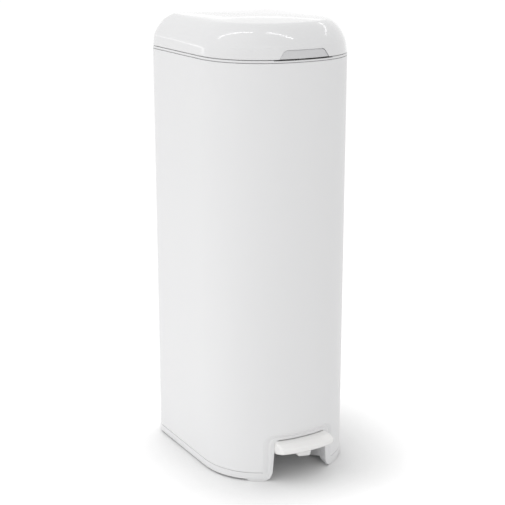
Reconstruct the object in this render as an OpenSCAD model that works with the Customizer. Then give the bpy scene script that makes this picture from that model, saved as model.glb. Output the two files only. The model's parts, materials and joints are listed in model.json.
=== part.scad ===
// Slim pedal bin for used nappies: steel body, moulded base with a foot pedal,
// a tilting collar that carries the liner cassette and two odour flaps, and a domed lid.
// Millimetres. The front is -Y, the back is +Y and the floor is z = 0.

/* [Body] */
// Width of the body
body_w = 200; // [190:1:230]
// Depth of the body, front to back
body_d = 244; // [240:1:280]
// Depth of the curved front, from its middle to where the sides run straight
front_depth = 93.2; // [88:0.1:98]
// Power of the front curve: 2 is an ellipse, more is squarer
front_power = 2.26; // [2:0.01:2.8]
// Radius of the two back corners
back_r = 26; // [20:1:34]
// Height of the steel body
shell_h = 538.2; // [480:0.1:620]
// Thickness of the steel sheet
shell_wall = 0.8; // [0.6:0.1:1.2]

/* [Base] */
// Height of the pads under the base
foot_h = 2.5; // [2:0.1:5]
// Height of the visible band of the base
band_h = 9.1; // [8:0.1:14]
// How far the band stands proud of the steel
band_proud = 0.3; // [0.1:0.1:1]
// Wall of the base moulding
base_wall = 2.2; // [1.8:0.1:3]
// Height of the deck that the bag stands on
deck_top = 70.5; // [68:0.5:84]
// Thickness of that deck
deck_t = 2.5; // [2:0.1:4]
// Width of the front foot pads
foot_w = 24; // [16:1:28]
// Place of each front foot pad, from the middle of the body
foot_x = 59; // [56:1:64]

/* [Pedal] */
// Width of the pedal opening
bay_w = 82; // [76:1:88]
// Height of the pedal opening above the floor
bay_h = 57; // [54:0.5:60]
// Width of the trim beside the opening
trim_side = 12.5; // [9:0.5:16]
// Height of the trim above the opening
trim_top = 7.7; // [5:0.1:10]
// How far the trim stands proud of the steel
trim_proud = 1; // [0.6:0.1:2]
// How far the pedal reaches out of the front
pedal_out = 22; // [16:1:28]
// Gap between the pedal and the side of its opening
pedal_side_gap = 1.5; // [1:0.1:3]
// Thickness of the pedal's skin
pedal_skin = 3; // [2:0.1:4]
// Distance of the pedal axle behind the front
axle_back = 128; // [120:1:136]
// Height of the pedal axle
axle_z = 30; // [29:0.5:32]
// Radius of the pedal axle
axle_r = 3; // [2.5:0.1:3.5]
// Width of the steel lever
lever_w = 24; // [20:1:30]
// Thickness of the steel lever
lever_t = 2; // [1.5:0.1:3]
// Radius of the nose that lifts the rod
nose_r = 5; // [4:0.5:5.5]

/* [Rod] */
// Radius of the push rod
rod_r = 3; // [2.5:0.1:3.4]
// Thickness of the plastic foot under the rod
rod_foot_h = 6; // [5:0.5:8]
// Thickness of the plate on top of the rod
rod_head_t = 3; // [2:0.5:4]
// Wall of the cover in front of the rod
cover_wall = 1.5; // [1.2:0.1:2.5]
// Height of each rod guide
guide_h = 8; // [6:1:12]

/* [Hinge] */
// Distance of the hinge pin behind the body
hinge_back = 6; // [6:0.1:8]
// Radius of the hinge knuckles
knuckle_r = 4.5; // [4:0.1:4.8]
// Radius of the hinge pin
pin_r = 2; // [1.6:0.1:2.4]
// Width of each knuckle
knuckle_w = 10; // [8:0.5:11]
// Half of the clear width between the two inner knuckles
knuckle_x = 18; // [17:0.5:20]
// Distance in front of the pin at which the rod lifts the lid
lift_reach = 22; // [21:0.5:24]
// How far the lid opens, in degrees
lid_open = 70; // [50:1:70]

/* [Collar] */
// Height of the collar's visible rim
rim_h = 2.9; // [2:0.1:5]
// Groove between the steel and the rim
rim_groove = 0.6; // [0.4:0.1:1]
// Depth of the collar's skirt inside the body
collar_depth = 12; // [10:0.5:14]
// Wall of the collar's skirt
collar_wall = 2; // [1.6:0.1:2.6]
// Clearance around the collar's skirt
collar_clear = 1.2; // [1:0.1:2]
// Height of the stiffening frame inside the top of the body
frame_h = 22; // [20:1:30]
// Wall of the stiffening frame
frame_wall = 2.5; // [2:0.1:3]

/* [Cassette] */
// Clearance between the body's outside and the cassette holder
holder_inset = 11; // [10.8:0.1:14]
// Depth of the cassette holder
holder_h = 44; // [36:1:50]
// Wall of the cassette holder
holder_wall = 1.8; // [1.4:0.1:2.4]
// Height of the liner cassette
cassette_h = 34; // [24:1:36]
// Width of the cassette's ring
cassette_ring = 13; // [10:0.5:14]

/* [Flaps] */
// Width of the opening for nappies
throat_w = 100; // [80:1:104]
// Length of the opening for nappies
throat_d = 144; // [120:1:146]
// Thickness of each odour flap
flap_t = 2.5; // [2:0.1:2.6]
// Thickness of the plate that holds the flaps
plate_t = 2.5; // [2:0.1:2.6]
// Radius of the flap pins
flap_pin_r = 1.4; // [1.2:0.1:1.5]

/* [Lid] */
// Height of the lid
lid_h = 45.4; // [38:0.1:52]
// Gap between the rim and the lid
lid_gap = 0.7; // [0.5:0.1:1.2]
// Height of the lid's upright skirt
skirt_h = 11; // [11:0.5:14]
// Wall of the lid
lid_wall = 2.5; // [2:0.1:2.6]
// Width of the lid's sloping shoulder
shoulder_w = 24.5; // [20:0.5:32]
// Power of the shoulder's curve: 1 is flat, 2 is round
shoulder_power = 1.45; // [1.2:0.01:2]
// Rise of the lid's domed top above its shoulder
crown_h = 4.2; // [0:0.1:5]
// Thickness of the panel under the lid
panel_t = 2; // [1.6:0.1:2.6]
// Width of the lid's seal
seal_w = 3; // [2:0.5:4]

/* [Lock button] */
// Width of the button at its lower edge
button_w = 71; // [60:1:74]
// Width of the button at its upper edge
button_top_w = 57; // [40:1:58]
// Height of the button
button_h = 10.5; // [9:0.1:10.8]
// How deep the button is set into the lid
button_set = 0.8; // [0.4:0.1:1.2]
// Travel of the button
button_travel = 2.5; // [2:0.1:2.5]
// Width of the finger gap under the lid
finger_w = 84; // [70:1:90]
// Depth of the finger gap
finger_h = 0.8; // [0.6:0.1:1.8]

/* [Fits] */
// Clearance between pieces that move past each other
gap = 0.3; // [0.25:0.05:0.4]
// Clearance between pieces that are fixed together
seat = 0.1; // [0.05:0.05:0.2]
// Radial clearance of a pin in its bore
run = 0.06; // [0.03:0.01:0.1]

/* [Hidden] */
$fn = 48;
front_steps = 44;
corner_steps = 7;
shoulder_steps = 7;
crown_steps = 4;
crown_run = 46;
min_corner_r = 6;
// How far a cutting solid runs past what it cuts, and a length longer than the bin
cut = 1;
far = 800;

// The bin is drawn with the middle of its body at y = 0, and then moved so that the
// middle of its overall length is there.
front_y = -body_d / 2;
back_y = body_d / 2;
side_y = front_y + front_depth;
shift_y = (pedal_out - hinge_back - knuckle_r) / 2;

// Heights
band_top = foot_h + band_h;
shell_z0 = band_top + rim_groove;
shell_z1 = shell_z0 + shell_h;
rim_z0 = shell_z1 + rim_groove;
rim_z1 = rim_z0 + rim_h;
lid_z0 = rim_z1 + lid_gap;
deck_z0 = deck_top - deck_t;

// Screws
screw_r = 2;
screw_head_r = 4;
screw_head_t = 1.6;

// Base
plug_inset = shell_wall + gap;
plug_inner = plug_inset + base_wall;
bay_half = bay_w / 2;
bay_r = 7;
bay_wall_y0 = front_y + 8;
bay_wall_back = 20;
bay_cut = 14;
trim_half = bay_half + trim_side;
trim_z = bay_h + trim_top;
trim_r = 13;
trim_lap = 3.5;
trim_lift = seat + 0.05;
notch_half = trim_half - trim_lap;
notch_z = trim_z - trim_lap;
notch_r = trim_r - trim_lap;
foot_depth = 12;
foot_boss_h = 5;
boss_r = axle_r + 4;
boss_l = 5;
base_screw_x = 60;
base_screw_z = 34;
base_screw_l = 8;

// Hinge
hinge_y = back_y + hinge_back;
hinge_z = rim_z1 + seat;
knuckle_gap = 1;
collar_knuckle_x = knuckle_x + knuckle_w + knuckle_gap;
body_knuckle_x = collar_knuckle_x + knuckle_w + knuckle_gap;
pin_half = body_knuckle_x + knuckle_w + knuckle_gap;
pin_cap = 1;
bracket_t = 1.5;
bracket_drop = 38;
bracket_top = shell_z1 - 5;
bracket_ear_t = 2;
bracket_screw_x = body_knuckle_x - screw_head_r;
bracket_screw_z = [shell_z1 - 29, shell_z1 - 10];
bracket_screw_l = 6;

// Push rod and its guides
rod_y = hinge_y - lift_reach;
lift_r = 4;
lift_half = 9;
rod_top = hinge_z - lift_r - gap;
rod_foot_z = axle_z + nose_r + gap;
rod_foot_floor = 3;
rod_foot_wall = 4;
head_half = 7.5;
head_front = 4.2;
head_hub_h = 4;
cover_half = 16;
cover_y = rod_y - 8;
cover_lip = 7;
cover_top = rim_z0 - 14;
cover_back = back_y - shell_wall - gap;
clip_z = deck_top + 13.5;
clip_t = 2;
clip_r = rod_r + 3.4;
rod_rise = lift_reach * sin(lid_open);
spring_l = 3.1 * rod_rise;
spring_z = clip_z + clip_t + gap;
guide_low = spring_z + spring_l;
guide_top = cover_top - guide_h - 23;
guide_z = [guide_low, (guide_low + guide_top) / 2, guide_top];

// Pedal
axle_y = front_y + axle_back;
pedal_half = bay_half - pedal_side_gap;
pad_wide = pedal_half + 2.5;
pad_z = bay_h - 1;
pad_front = front_y - pedal_out;
pad_root = front_y + 30;
pad_lip = 6;
pad_web = 21;
pad_drop = 4.5;
pad_crest = 11;
pad_chin = 12;
pad_root_h = 16;
pad_hollow_h = 15;
lever_z1 = axle_z + 8;
lever_y0 = front_y + 4;
lever_deep = 7;
lever_taper = 60;
lever_flat = 12;
clip_wall = 3;
pad_screw_y = [front_y + 9, front_y + 20];
pad_screw_l = 11;

// Collar and what it carries
frame_inset = shell_wall + seat;
frame_inner = frame_inset + frame_wall;
frame_top = shell_z1 - 0.4;
frame_z0 = shell_z1 - frame_h;
collar_inset = frame_inner + collar_clear;
collar_inner = collar_inset + collar_wall;
collar_z0 = rim_z0 - collar_depth;
ledge_t = 2;
ledge_w = 3;
rod_slot = 15;
rod_slot_y = rod_y - 10;
holder_rear = rod_slot_y - 1;
holder_back = back_y - holder_inset - holder_rear;
holder_z1 = collar_z0 + ledge_t + gap + ledge_t;
holder_z0 = holder_z1 - holder_h;
holder_inner = holder_inset + holder_wall;
cassette_inset = holder_inner + gap;
film_slot_w = 3;
film_slot_in = 6;
plate_z0 = holder_z1 + 2.5;
plate_z1 = plate_z0 + plate_t;
plate_inset = collar_inner + gap;
plate_lip_w = 2.5;
throat_y = 0;
throat_r = 14;
flap_y0 = throat_y - throat_d / 2 - 3;
flap_y1 = throat_y + throat_d / 2 + 1;
flap_half = throat_w / 2 + 7;
flap_z1 = plate_z0 - 0.5;
flap_z = flap_z1 - flap_t / 2 - 1;
flap_split = 0.5;
flap_knuckle_r = 2.4;
flap_spring_l = 12;
flap_spring_y0 = flap_y0 + 5;
flap_bore_over = 9;
ear_t = 3;
ear_r = 3;
cutter_y = holder_rear - holder_wall - cassette_ring;
cutter_z1 = holder_z0 - seat;
cutter_h = 11;
cutter_half = 18;
blade_y = cutter_y + 7;
blade_t = 0.8;
blade_half = 14;

// Lid
panel_z0 = lid_z0 + 0.7;
panel_z1 = panel_z0 + panel_t;
panel_inset = lid_wall + gap;
panel_back = back_y - panel_inset - (rod_slot_y - 2);
seal_inset = 21;
seal_back = 8;
arm_z0 = hinge_z + 1.6;
bracket_z0 = hinge_z + 4.5;
lid_bracket_t = 2.5;
arm_depth = 12;
arm_lip = 6;
lift_web = 2.4;
lid_bracket_half = 42;
lid_bracket_y1 = back_y - lid_wall - gap;
lid_flange_h = 11;
lid_flange_z1 = hinge_z + lid_flange_h;
lid_flange_t = 2;
lid_screw_x = 35;
lid_screw_r = 1.9;
lid_screw_z = lid_flange_z1 - lid_screw_r;
lid_screw_t = 1.4;

// Lock button and catch
button_z0 = lid_z0 + gap;
button_t = 2.5;
button_r = 8;
stem_half = 24;
stem_y1 = front_y + 9.5;
stem_z0 = panel_z1 + gap;
stem_z1 = stem_z0 + 5;
finger_half = 5;
finger_t = 3.2;
finger_y1 = front_y + 13.6;
finger_z0 = plate_z1 + 2;
rib_t = 2;
catch_half = 8;
catch_y0 = front_y + 8;
catch_y1 = catch_y0 + 10;
catch_z0 = collar_z0 + 1.5;
catch_z1 = plate_z0 - gap;
catch_top = rim_z1 - 1.4;
catch_rib_y = catch_y1 + 10;
bolt_half = 6;
bolt_y0 = front_y + frame_inner + gap;
window_half = bolt_half + 3;
wide_window = window_half + 2;
spring_post_x = [11, 21];
spring_post_y = stem_y1 + 9.5;
small_coil_r = 1.8;
small_wire_r = 0.25;

function bulge(v) = sign(v) * pow(abs(v), 2 / front_power);

// The body's outline from above, set in by a distance. The back wall can be set in further.
function outline(inset, back_in = 0) =
    let (hw = body_w / 2 - inset)
    let (yb = back_y - inset - back_in)
    let (r = max(back_r - inset * 0.6, min_corner_r))
    concat(
        [for (i = [0:front_steps])
            let (a = 180 + 180 * i / front_steps)
            [hw * bulge(cos(a)), side_y + (front_depth - inset) * bulge(sin(a))]],
        [for (i = [0:corner_steps])
            let (a = 90 * i / corner_steps)
            [hw - r + r * cos(a), yb - r + r * sin(a)]],
        [for (i = [0:corner_steps])
            let (a = 90 + 90 * i / corner_steps)
            [r - hw + r * cos(a), yb - r + r * sin(a)]]
    );

// One corner p between its neighbours a and b, rounded to radius r with n steps
function turn(d) = d > 180 ? d - 360 : d < -180 ? d + 360 : d;
function corner(p, a, b, r, n) =
    let (u = (a - p) / norm(a - p))
    let (v = (b - p) / norm(b - p))
    let (half = acos(u * v) / 2)
    let (c = p + (u + v) / norm(u + v) * r / sin(half))
    let (s = p + u * r / tan(half) - c)
    let (e = p + v * r / tan(half) - c)
    let (a0 = atan2(s[1], s[0]))
    let (da = turn(atan2(e[1], e[0]) - a0))
    r == 0 ? [p] : [for (i = [0:n]) c + r * [cos(a0 + da * i / n), sin(a0 + da * i / n)]];

// A flat shape with each of its corners rounded to a radius of its own
function rounded(pts, radii, n = 6) =
    let (m = len(pts))
    [for (i = [0:m - 1])
        each corner(pts[i], pts[(i + m - 1) % m], pts[(i + 1) % m], radii[i], n)];

module in_place() {
    translate([0, shift_y, 0]) children();
}

module slab(z0, z1, inset, back_in = 0) {
    translate([0, 0, z0]) linear_extrude(z1 - z0) polygon(outline(inset, back_in));
}

module ring(z0, z1, inset, wall, back_in = 0) {
    difference() {
        slab(z0, z1, inset, back_in);
        slab(z0 - cut, z1 + cut, inset + wall, back_in);
    }
}

// A box from its lowest corner to its highest corner
module block(a, b) {
    translate(a) cube(b - a);
}

// The same box on the right and on the left
module both(a, b) {
    block(a, b);
    mirror([1, 0, 0]) block(a, b);
}

module rod_x(x0, x1, y, z, r) {
    translate([x0, y, z]) rotate([0, 90, 0]) cylinder(h = x1 - x0, r = r);
}

// The same cylinder along X on the right and on the left
module both_rods(x0, x1, y, z, r) {
    rod_x(x0, x1, y, z, r);
    rod_x(-x1, -x0, y, z, r);
}

module rod_along_y(y0, y1, x, z, r) {
    translate([x, y0, z]) rotate([-90, 0, 0]) cylinder(h = y1 - y0, r = r);
}

module post(x, y, z0, z1, r) {
    translate([x, y, z0]) cylinder(h = z1 - z0, r = r);
}

// A flat shape in x and z, made solid from y0 to y1
module front_shape(pts, y0, y1) {
    translate([0, y1, 0]) rotate([90, 0, 0]) linear_extrude(y1 - y0) polygon(pts);
}

// A flat shape in y and z, made solid from x0 to x1
module side_shape(pts, x0, x1) {
    translate([x0, 0, 0]) rotate([90, 0, 90]) linear_extrude(x1 - x0) polygon(pts);
}

// An upright opening with rounded upper corners
function arch(half, top, r, bottom) =
    rounded([[-half, bottom], [half, bottom], [half, top], [-half, top]], [0, 0, r, r]);

// A pan-head screw along Y, with the face of its head's seat at y = 0
module pan_screw(length) {
    rod_along_y(-length, 0, 0, 0, screw_r);
    rod_along_y(0, screw_head_t, 0, 0, screw_head_r);
}

// A coil spring along +Z: one tube of six sides, from z = 0 to z = length
module coil(r, wire_r, turns, length) {
    sides = 6;
    per_turn = 10;
    steps = turns * per_turn;
    rise = (length - 2 * wire_r) / steps;
    pts = [for (i = [0:steps]) for (k = [0:sides - 1])
        let (a = 360 * i / per_turn)
        let (b = 360 * k / sides)
        [(r + wire_r * cos(b)) * cos(a), (r + wire_r * cos(b)) * sin(a),
            wire_r + rise * i + wire_r * sin(b)]];
    walls = [for (i = [0:steps - 1]) for (k = [0:sides - 1])
        let (p = i * sides + k)
        let (q = i * sides + (k + 1) % sides)
        each [[p, p + sides, q], [q, p + sides, q + sides]]];
    polyhedron(pts, concat(
        [[for (k = [0:sides - 1]) k]],
        walls,
        [[for (k = [sides - 1:-1:0]) steps * sides + k]]));
}

// The holes for the two base screws and for the four bracket screws
module base_screw_holes() {
    for (s = [-1, 1])
        rod_along_y(back_y - foot_depth, back_y + cut, s * base_screw_x, base_screw_z,
            screw_r + seat);
}

module bracket_screw_holes() {
    for (s = [-1, 1])
        for (z = bracket_screw_z)
            rod_along_y(back_y - foot_depth, hinge_y, s * bracket_screw_x, z, screw_r + seat);
}

// The body and the pieces fixed to it

module body_shell() in_place() color("white") difference() {
    ring(shell_z0, shell_z1, 0, shell_wall);
    front_shape(arch(notch_half, notch_z, notch_r, 0), front_y - cut, side_y);
    bracket_screw_holes();
    base_screw_holes();
}

module foot_zone(z0, z1) {
    x0 = foot_x - foot_w / 2;
    x1 = foot_x + foot_w / 2;
    both([x0, front_y - cut, z0], [x1, side_y, z1]);
    both([x0, back_y - foot_depth, z0], [x1, back_y + cut, z1]);
}

// The trim is a flange outside the steel and a neck that passes through its notch
module opening_trim() {
    intersection() {
        ring(foot_h, trim_z, -trim_proud, trim_proud - trim_lift);
        front_shape(arch(trim_half, trim_z, trim_r, foot_h), front_y - pedal_out, side_y);
    }
    intersection() {
        ring(foot_h, trim_z, -trim_proud, trim_proud + plug_inner);
        front_shape(arch(notch_half - gap, notch_z - gap, notch_r, foot_h),
            front_y - pedal_out, side_y);
    }
}

module base_tray() in_place() color("gainsboro") difference() {
    union() {
        ring(foot_h, band_top, -band_proud, plug_inner + band_proud);
        ring(band_top - cut, deck_top, plug_inset, base_wall);
        slab(deck_z0, deck_top, plug_inset);
        intersection() {
            ring(foot_h, foot_h + foot_boss_h, 0, foot_depth);
            foot_zone(foot_h, foot_h + foot_boss_h);
        }
        both([bay_half, bay_wall_y0, foot_h + 2],
            [bay_half + base_wall, axle_y + bay_wall_back, deck_z0 + cut]);
        both_rods(bay_half, bay_half + boss_l, axle_y, axle_z, boss_r);
        opening_trim();
    }
    front_shape(arch(bay_half, bay_h, bay_r, 0), front_y - pedal_out, front_y + bay_cut);
    rod_x(-far, far, axle_y, axle_z, axle_r + run);
    post(0, rod_y, deck_z0 - cut, deck_top + cut, rod_r + 0.5);
    base_screw_holes();
}

module foot_pads() in_place() color("whitesmoke") intersection() {
    ring(0, foot_h, -band_proud, foot_depth + band_proud);
    foot_zone(0, foot_h);
}

module base_screws() in_place() color("silver") for (s = [-1, 1])
    translate([s * base_screw_x, back_y + seat, base_screw_z]) pan_screw(base_screw_l);

module top_frame() in_place() color("white") difference() {
    half = cover_half + cover_lip + 2;
    ring(frame_z0, frame_top, frame_inset, frame_wall);
    block([-half, 0, frame_z0 - cut], [half, back_y, frame_top + cut]);
    block([-window_half, front_y, catch_z0 - 1], [window_half, side_y, catch_z1 + 1]);
    bracket_screw_holes();
}

module knuckles(x0) {
    both_rods(x0, x0 + knuckle_w, hinge_y, hinge_z, knuckle_r);
}

module hinge_bore() {
    rod_x(-far, far, hinge_y, hinge_z, pin_r + run);
}

module hinge_bracket() in_place() color("silver") difference() {
    plate_y0 = back_y + seat;
    plate_y1 = plate_y0 + bracket_t;
    plate_half = pin_half - knuckle_gap;
    ear = [
        [plate_y0, hinge_z - bracket_drop], [plate_y1, hinge_z - bracket_drop],
        [hinge_y + knuckle_r, hinge_z - knuckle_r], [hinge_y + knuckle_r, hinge_z],
        [hinge_y, hinge_z], [plate_y0, bracket_top]
    ];
    union() {
        block([-plate_half, plate_y0, hinge_z - bracket_drop], [plate_half, plate_y1, bracket_top]);
        knuckles(body_knuckle_x);
        side_shape(ear, plate_half - bracket_ear_t, plate_half);
        side_shape(ear, -plate_half, bracket_ear_t - plate_half);
    }
    hinge_bore();
    bracket_screw_holes();
}

module bracket_screws() in_place() color("silver") for (s = [-1, 1])
    for (z = bracket_screw_z)
        translate([s * bracket_screw_x, back_y + 2 * seat + bracket_t, z])
            pan_screw(bracket_screw_l);

module hinge_pin() in_place() color("silver") {
    rod_x(-pin_half, pin_half, hinge_y, hinge_z, pin_r);
    both_rods(pin_half, pin_half + pin_cap, hinge_y, hinge_z, pin_r + 1);
}

module rod_cover() in_place() color("whitesmoke") {
    z0 = deck_top + gap;
    inner = cover_half - cover_wall;
    block([-cover_half, cover_y, z0], [cover_half, cover_y + cover_wall, cover_top]);
    both([inner, cover_y, z0], [cover_half, cover_back, cover_top]);
    both([inner, cover_back - cover_wall, z0], [cover_half + cover_lip, cover_back, cover_top]);
}

module rod_guides() in_place() color("gainsboro") for (z = guide_z) difference() {
    half = cover_half - cover_wall - seat;
    block([-half, cover_y + cover_wall + seat, z], [half, cover_back, z + guide_h]);
    post(0, rod_y, z - cut, z + guide_h + cut, rod_r + run);
}

// The pedal, its axle and the rod that it lifts

module pedal_axle() in_place() color("silver")
    rod_x(-bay_half - boss_l - 4.5, bay_half + boss_l + 4.5, axle_y, axle_z, axle_r);

module axle_clips() in_place() color("silver") difference() {
    x0 = bay_half + boss_l + gap;
    both_rods(x0, x0 + 1.2, axle_y, axle_z, axle_r + clip_wall);
    rod_x(-far, far, axle_y, axle_z, axle_r + run / 2);
}

module axle_spacers() in_place() color("whitesmoke") difference() {
    both_rods(lever_w / 2 + gap, bay_half - gap, axle_y, axle_z, axle_r + 2);
    rod_x(-far, far, axle_y, axle_z, axle_r + run);
}

// The lever is a steel channel, deepest at its axle and narrow at the rod
lever_nose_z1 = axle_z + 1;
lever_back = rod_y - 8;
lever_web = [
    [lever_y0, lever_z1 - lever_t], [axle_y, lever_z1 - lever_t],
    [lever_back, axle_z - 1], [rod_y, axle_z - 1], [rod_y, lever_nose_z1],
    [lever_back, lever_nose_z1 + lever_t], [axle_y + 4, lever_z1], [lever_y0, lever_z1]
];
lever_side = [
    [lever_y0, lever_z1 - 4], [axle_y - lever_taper, lever_z1 - 6],
    [axle_y - lever_flat, axle_z - lever_deep], [axle_y + lever_flat, axle_z - lever_deep],
    [rod_y, axle_z - 4], [rod_y, lever_nose_z1],
    [lever_back, lever_nose_z1 + lever_t], [axle_y + 4, lever_z1], [lever_y0, lever_z1]
];

module pedal_lever() in_place() color("silver") difference() {
    half = lever_w / 2;
    union() {
        side_shape(lever_web, -half, half);
        side_shape(lever_side, half - lever_t, half);
        side_shape(lever_side, -half, lever_t - half);
        rod_x(-half, half, rod_y, axle_z, nose_r);
    }
    rod_x(-far, far, axle_y, axle_z, axle_r + run);
    for (y = pad_screw_y)
        post(0, y, 0, pad_z, screw_r + seat);
}

// Side view of the pedal, from its root in the bay to its front lip
pad_side = rounded([
    [pad_root, pad_z - pad_root_h], [pad_root, pad_z - 5], [front_y + 1, pad_z],
    [pad_front + pad_crest, pad_z - 1], [pad_front, pad_z - pad_drop],
    [pad_front, pad_z - pad_drop - pad_lip], [pad_front + pad_chin, pad_z - pad_chin - 2],
    [front_y - 9, pad_z - pad_web], [front_y + 2, pad_z - pad_web],
    [front_y + 8, pad_z - pad_root_h]
], [0, 2, 6, 6, 2, 2, 6, 2, 2, 0]);
pad_hollow = [
    [pad_root + cut, 0], [pad_root + cut, pad_z - 7 - pedal_skin],
    [front_y + 1, pad_z - pedal_skin], [pad_front + pad_crest + 1, pad_z - 1 - pedal_skin],
    [pad_front + 5, pad_z - 6 - pedal_skin], [pad_front + 5, pad_z - pad_chin],
    [front_y - 6, pad_z - pad_hollow_h], [front_y - 6, 0]
];

module pedal_pad() in_place() color("white") difference() {
    skin_half = pedal_half - pedal_skin;
    tongue_half = lever_w / 2 - lever_t - 1;
    union() {
        difference() {
            intersection() {
                side_shape(pad_side, -pad_wide, pad_wide);
                union() {
                    front_shape(arch(pedal_half, pad_z, bay_r - 1, 0), pad_front - cut, side_y);
                    front_shape(arch(pad_wide, pad_z, bay_r, 0), pad_front - cut, front_y - 3);
                }
                slab(0, bay_h, -pedal_out);
            }
            side_shape(pad_hollow, -skin_half, skin_half);
        }
        block([-tongue_half, lever_y0, lever_z1 + gap], [tongue_half, lever_y0 + 21, pad_z - 5]);
    }
    for (y = pad_screw_y)
        post(0, y, lever_z1, lever_z1 + pad_screw_l, screw_r + seat);
    block([-lever_w / 2 - 1, lever_y0 - 1, 0], [lever_w / 2 + 1, far, lever_z1 + gap]);
}

module pad_screws() in_place() color("silver") for (y = pad_screw_y) {
    seat_z = lever_z1 - lever_t - seat;
    post(0, y, seat_z - screw_head_t, seat_z, screw_head_r);
    post(0, y, seat_z - screw_head_t, seat_z + pad_screw_l, screw_r);
}

module push_rod() in_place() color("silver")
    post(0, rod_y, rod_foot_z + rod_foot_floor, rod_top, rod_r);

module rod_foot() in_place() color("dimgray") difference() {
    post(0, rod_y, rod_foot_z, rod_foot_z + rod_foot_h, rod_r + rod_foot_wall);
    post(0, rod_y, rod_foot_z + rod_foot_floor - seat, rod_top, rod_r + run / 2);
}

module rod_head() in_place() color("dimgray") difference() {
    union() {
        block([-head_half, rod_y - head_front, rod_top - rod_head_t],
            [head_half, back_y - shell_wall - 0.5, rod_top]);
        post(0, rod_y, rod_top - rod_head_t - head_hub_h, rod_top, rod_r + 1.2);
    }
    post(0, rod_y, 0, far, rod_r + run / 2);
}

module rod_clip() in_place() color("silver") difference() {
    post(0, rod_y, clip_z, clip_z + clip_t, clip_r);
    post(0, rod_y, 0, far, rod_r + run / 2);
}

module rod_spring() in_place() color("silver")
    translate([0, rod_y, spring_z]) coil(rod_r + 1.7, 0.6, 9, spring_l - gap);

// The collar and the pieces that tilt with it

module collar_ring() in_place() color("white") difference() {
    union() {
        ring(rim_z0, rim_z1, 0, collar_inner);
        ring(collar_z0, rim_z0 + cut, collar_inset, collar_wall);
        ring(collar_z0, collar_z0 + ledge_t, collar_inset, collar_wall + ledge_w);
        knuckles(collar_knuckle_x);
        both([collar_knuckle_x, back_y - collar_inner, rim_z0],
            [collar_knuckle_x + knuckle_w, hinge_y, rim_z1]);
    }
    hinge_bore();
    block([-rod_slot, rod_slot_y, collar_z0 - cut], [rod_slot, far, rim_z1 + cut]);
    block([-finger_w / 2, front_y - cut, rim_z1 - finger_h], [finger_w / 2, side_y, rim_z1 + cut]);
    block([-window_half, front_y, catch_z0 - cut], [window_half, side_y, catch_z1]);
    block([-wide_window, front_y + collar_inner, collar_z0 - cut], [wide_window, side_y, catch_z1]);
}

module cassette_holder() in_place() color("whitesmoke") difference() {
    union() {
        intersection() {
            ring(holder_z1 - ledge_t, holder_z1, plate_inset, holder_inner - plate_inset,
                holder_back);
            block([-far, -far, 0], [far, holder_rear, far]);
        }
        ring(holder_z0, holder_z1, holder_inset, holder_wall, holder_back);
        ring(holder_z0, holder_z0 + ledge_t, holder_inset, holder_wall + cassette_ring,
            holder_back);
    }
    block([-wide_window, front_y, collar_z0 - cut], [wide_window, side_y, far]);
}

module liner_cassette() in_place() color("powderblue") difference() {
    z0 = holder_z0 + ledge_t + gap;
    z1 = z0 + cassette_h;
    ring(z0, z1, cassette_inset, cassette_ring, holder_back);
    ring(z1 - film_slot_w, z1 + cut, cassette_inset + film_slot_in, film_slot_w, holder_back);
}

module flap_plate() in_place() color("white") difference() {
    join_z = plate_z0 + 0.5;
    union() {
        slab(plate_z0, plate_z1, plate_inset);
        difference() {
            ring(holder_z1 + gap, join_z, plate_inset, plate_lip_w);
            block([-wide_window - 1, front_y, 0], [wide_window + 1, side_y, far]);
        }
        for (y = [flap_y0 - gap - ear_t, flap_y1 + gap])
            both([flap_half - ear_r, y, flap_z - ear_r], [flap_half + ear_r, y + ear_t, join_z]);
        block([-finger_half, catch_rib_y, catch_z0 + 0.5],
            [finger_half, catch_rib_y + rib_t, join_z]);
        both([catch_half + gap, catch_y0 + 1, catch_z0 + 1.5],
            [catch_half + gap + rib_t, catch_y1, join_z]);
    }
    translate([0, 0, plate_z0 - cut]) linear_extrude(plate_t + 2 * cut) polygon(rounded([
        [-throat_w / 2, throat_y - throat_d / 2], [throat_w / 2, throat_y - throat_d / 2],
        [throat_w / 2, throat_y + throat_d / 2], [-throat_w / 2, throat_y + throat_d / 2]
    ], [throat_r, throat_r, throat_r, throat_r]));
    block([-rod_slot - 0.5, rod_slot_y - 0.5, 0], [rod_slot + 0.5, far, far]);
    block([-finger_half - 1, finger_y1 - 1.5, 0],
        [finger_half + 1, finger_y1 + button_travel + 4.5, far]);
    for (s = [-1, 1])
        rod_along_y(flap_y0 - flap_bore_over, flap_y1 + flap_bore_over, s * flap_half, flap_z,
            flap_pin_r + run / 2);
}

// One flap, drawn on the right, with a gap in its knuckle for the spring
module flap() difference() {
    union() {
        block([flap_split, flap_y0, flap_z1 - flap_t], [flap_half - 1, flap_y1, flap_z1]);
        rod_along_y(flap_y0, flap_y1, flap_half, flap_z, flap_knuckle_r);
    }
    rod_along_y(flap_y0 - flap_bore_over, flap_y1 + flap_bore_over, flap_half, flap_z,
        flap_pin_r + run);
    block([flap_half - 4, flap_spring_y0 - 1, flap_z - 4],
        [flap_half + 4, flap_spring_y0 + flap_spring_l + 3, flap_z + 4]);
}

module flap_right() in_place() color("whitesmoke") flap();

module flap_left() in_place() color("whitesmoke") mirror([1, 0, 0]) flap();

module flap_pins() in_place() color("silver") for (s = [-1, 1])
    rod_along_y(flap_y0 - ear_t - 1, flap_y1 + ear_t + 1, s * flap_half, flap_z, flap_pin_r);

module flap_springs() in_place() color("silver") for (s = [-1, 1])
    translate([s * flap_half, flap_spring_y0, flap_z]) rotate([-90, 0, 0])
        coil(flap_pin_r + 0.6, 0.3, 6, flap_spring_l);

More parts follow.
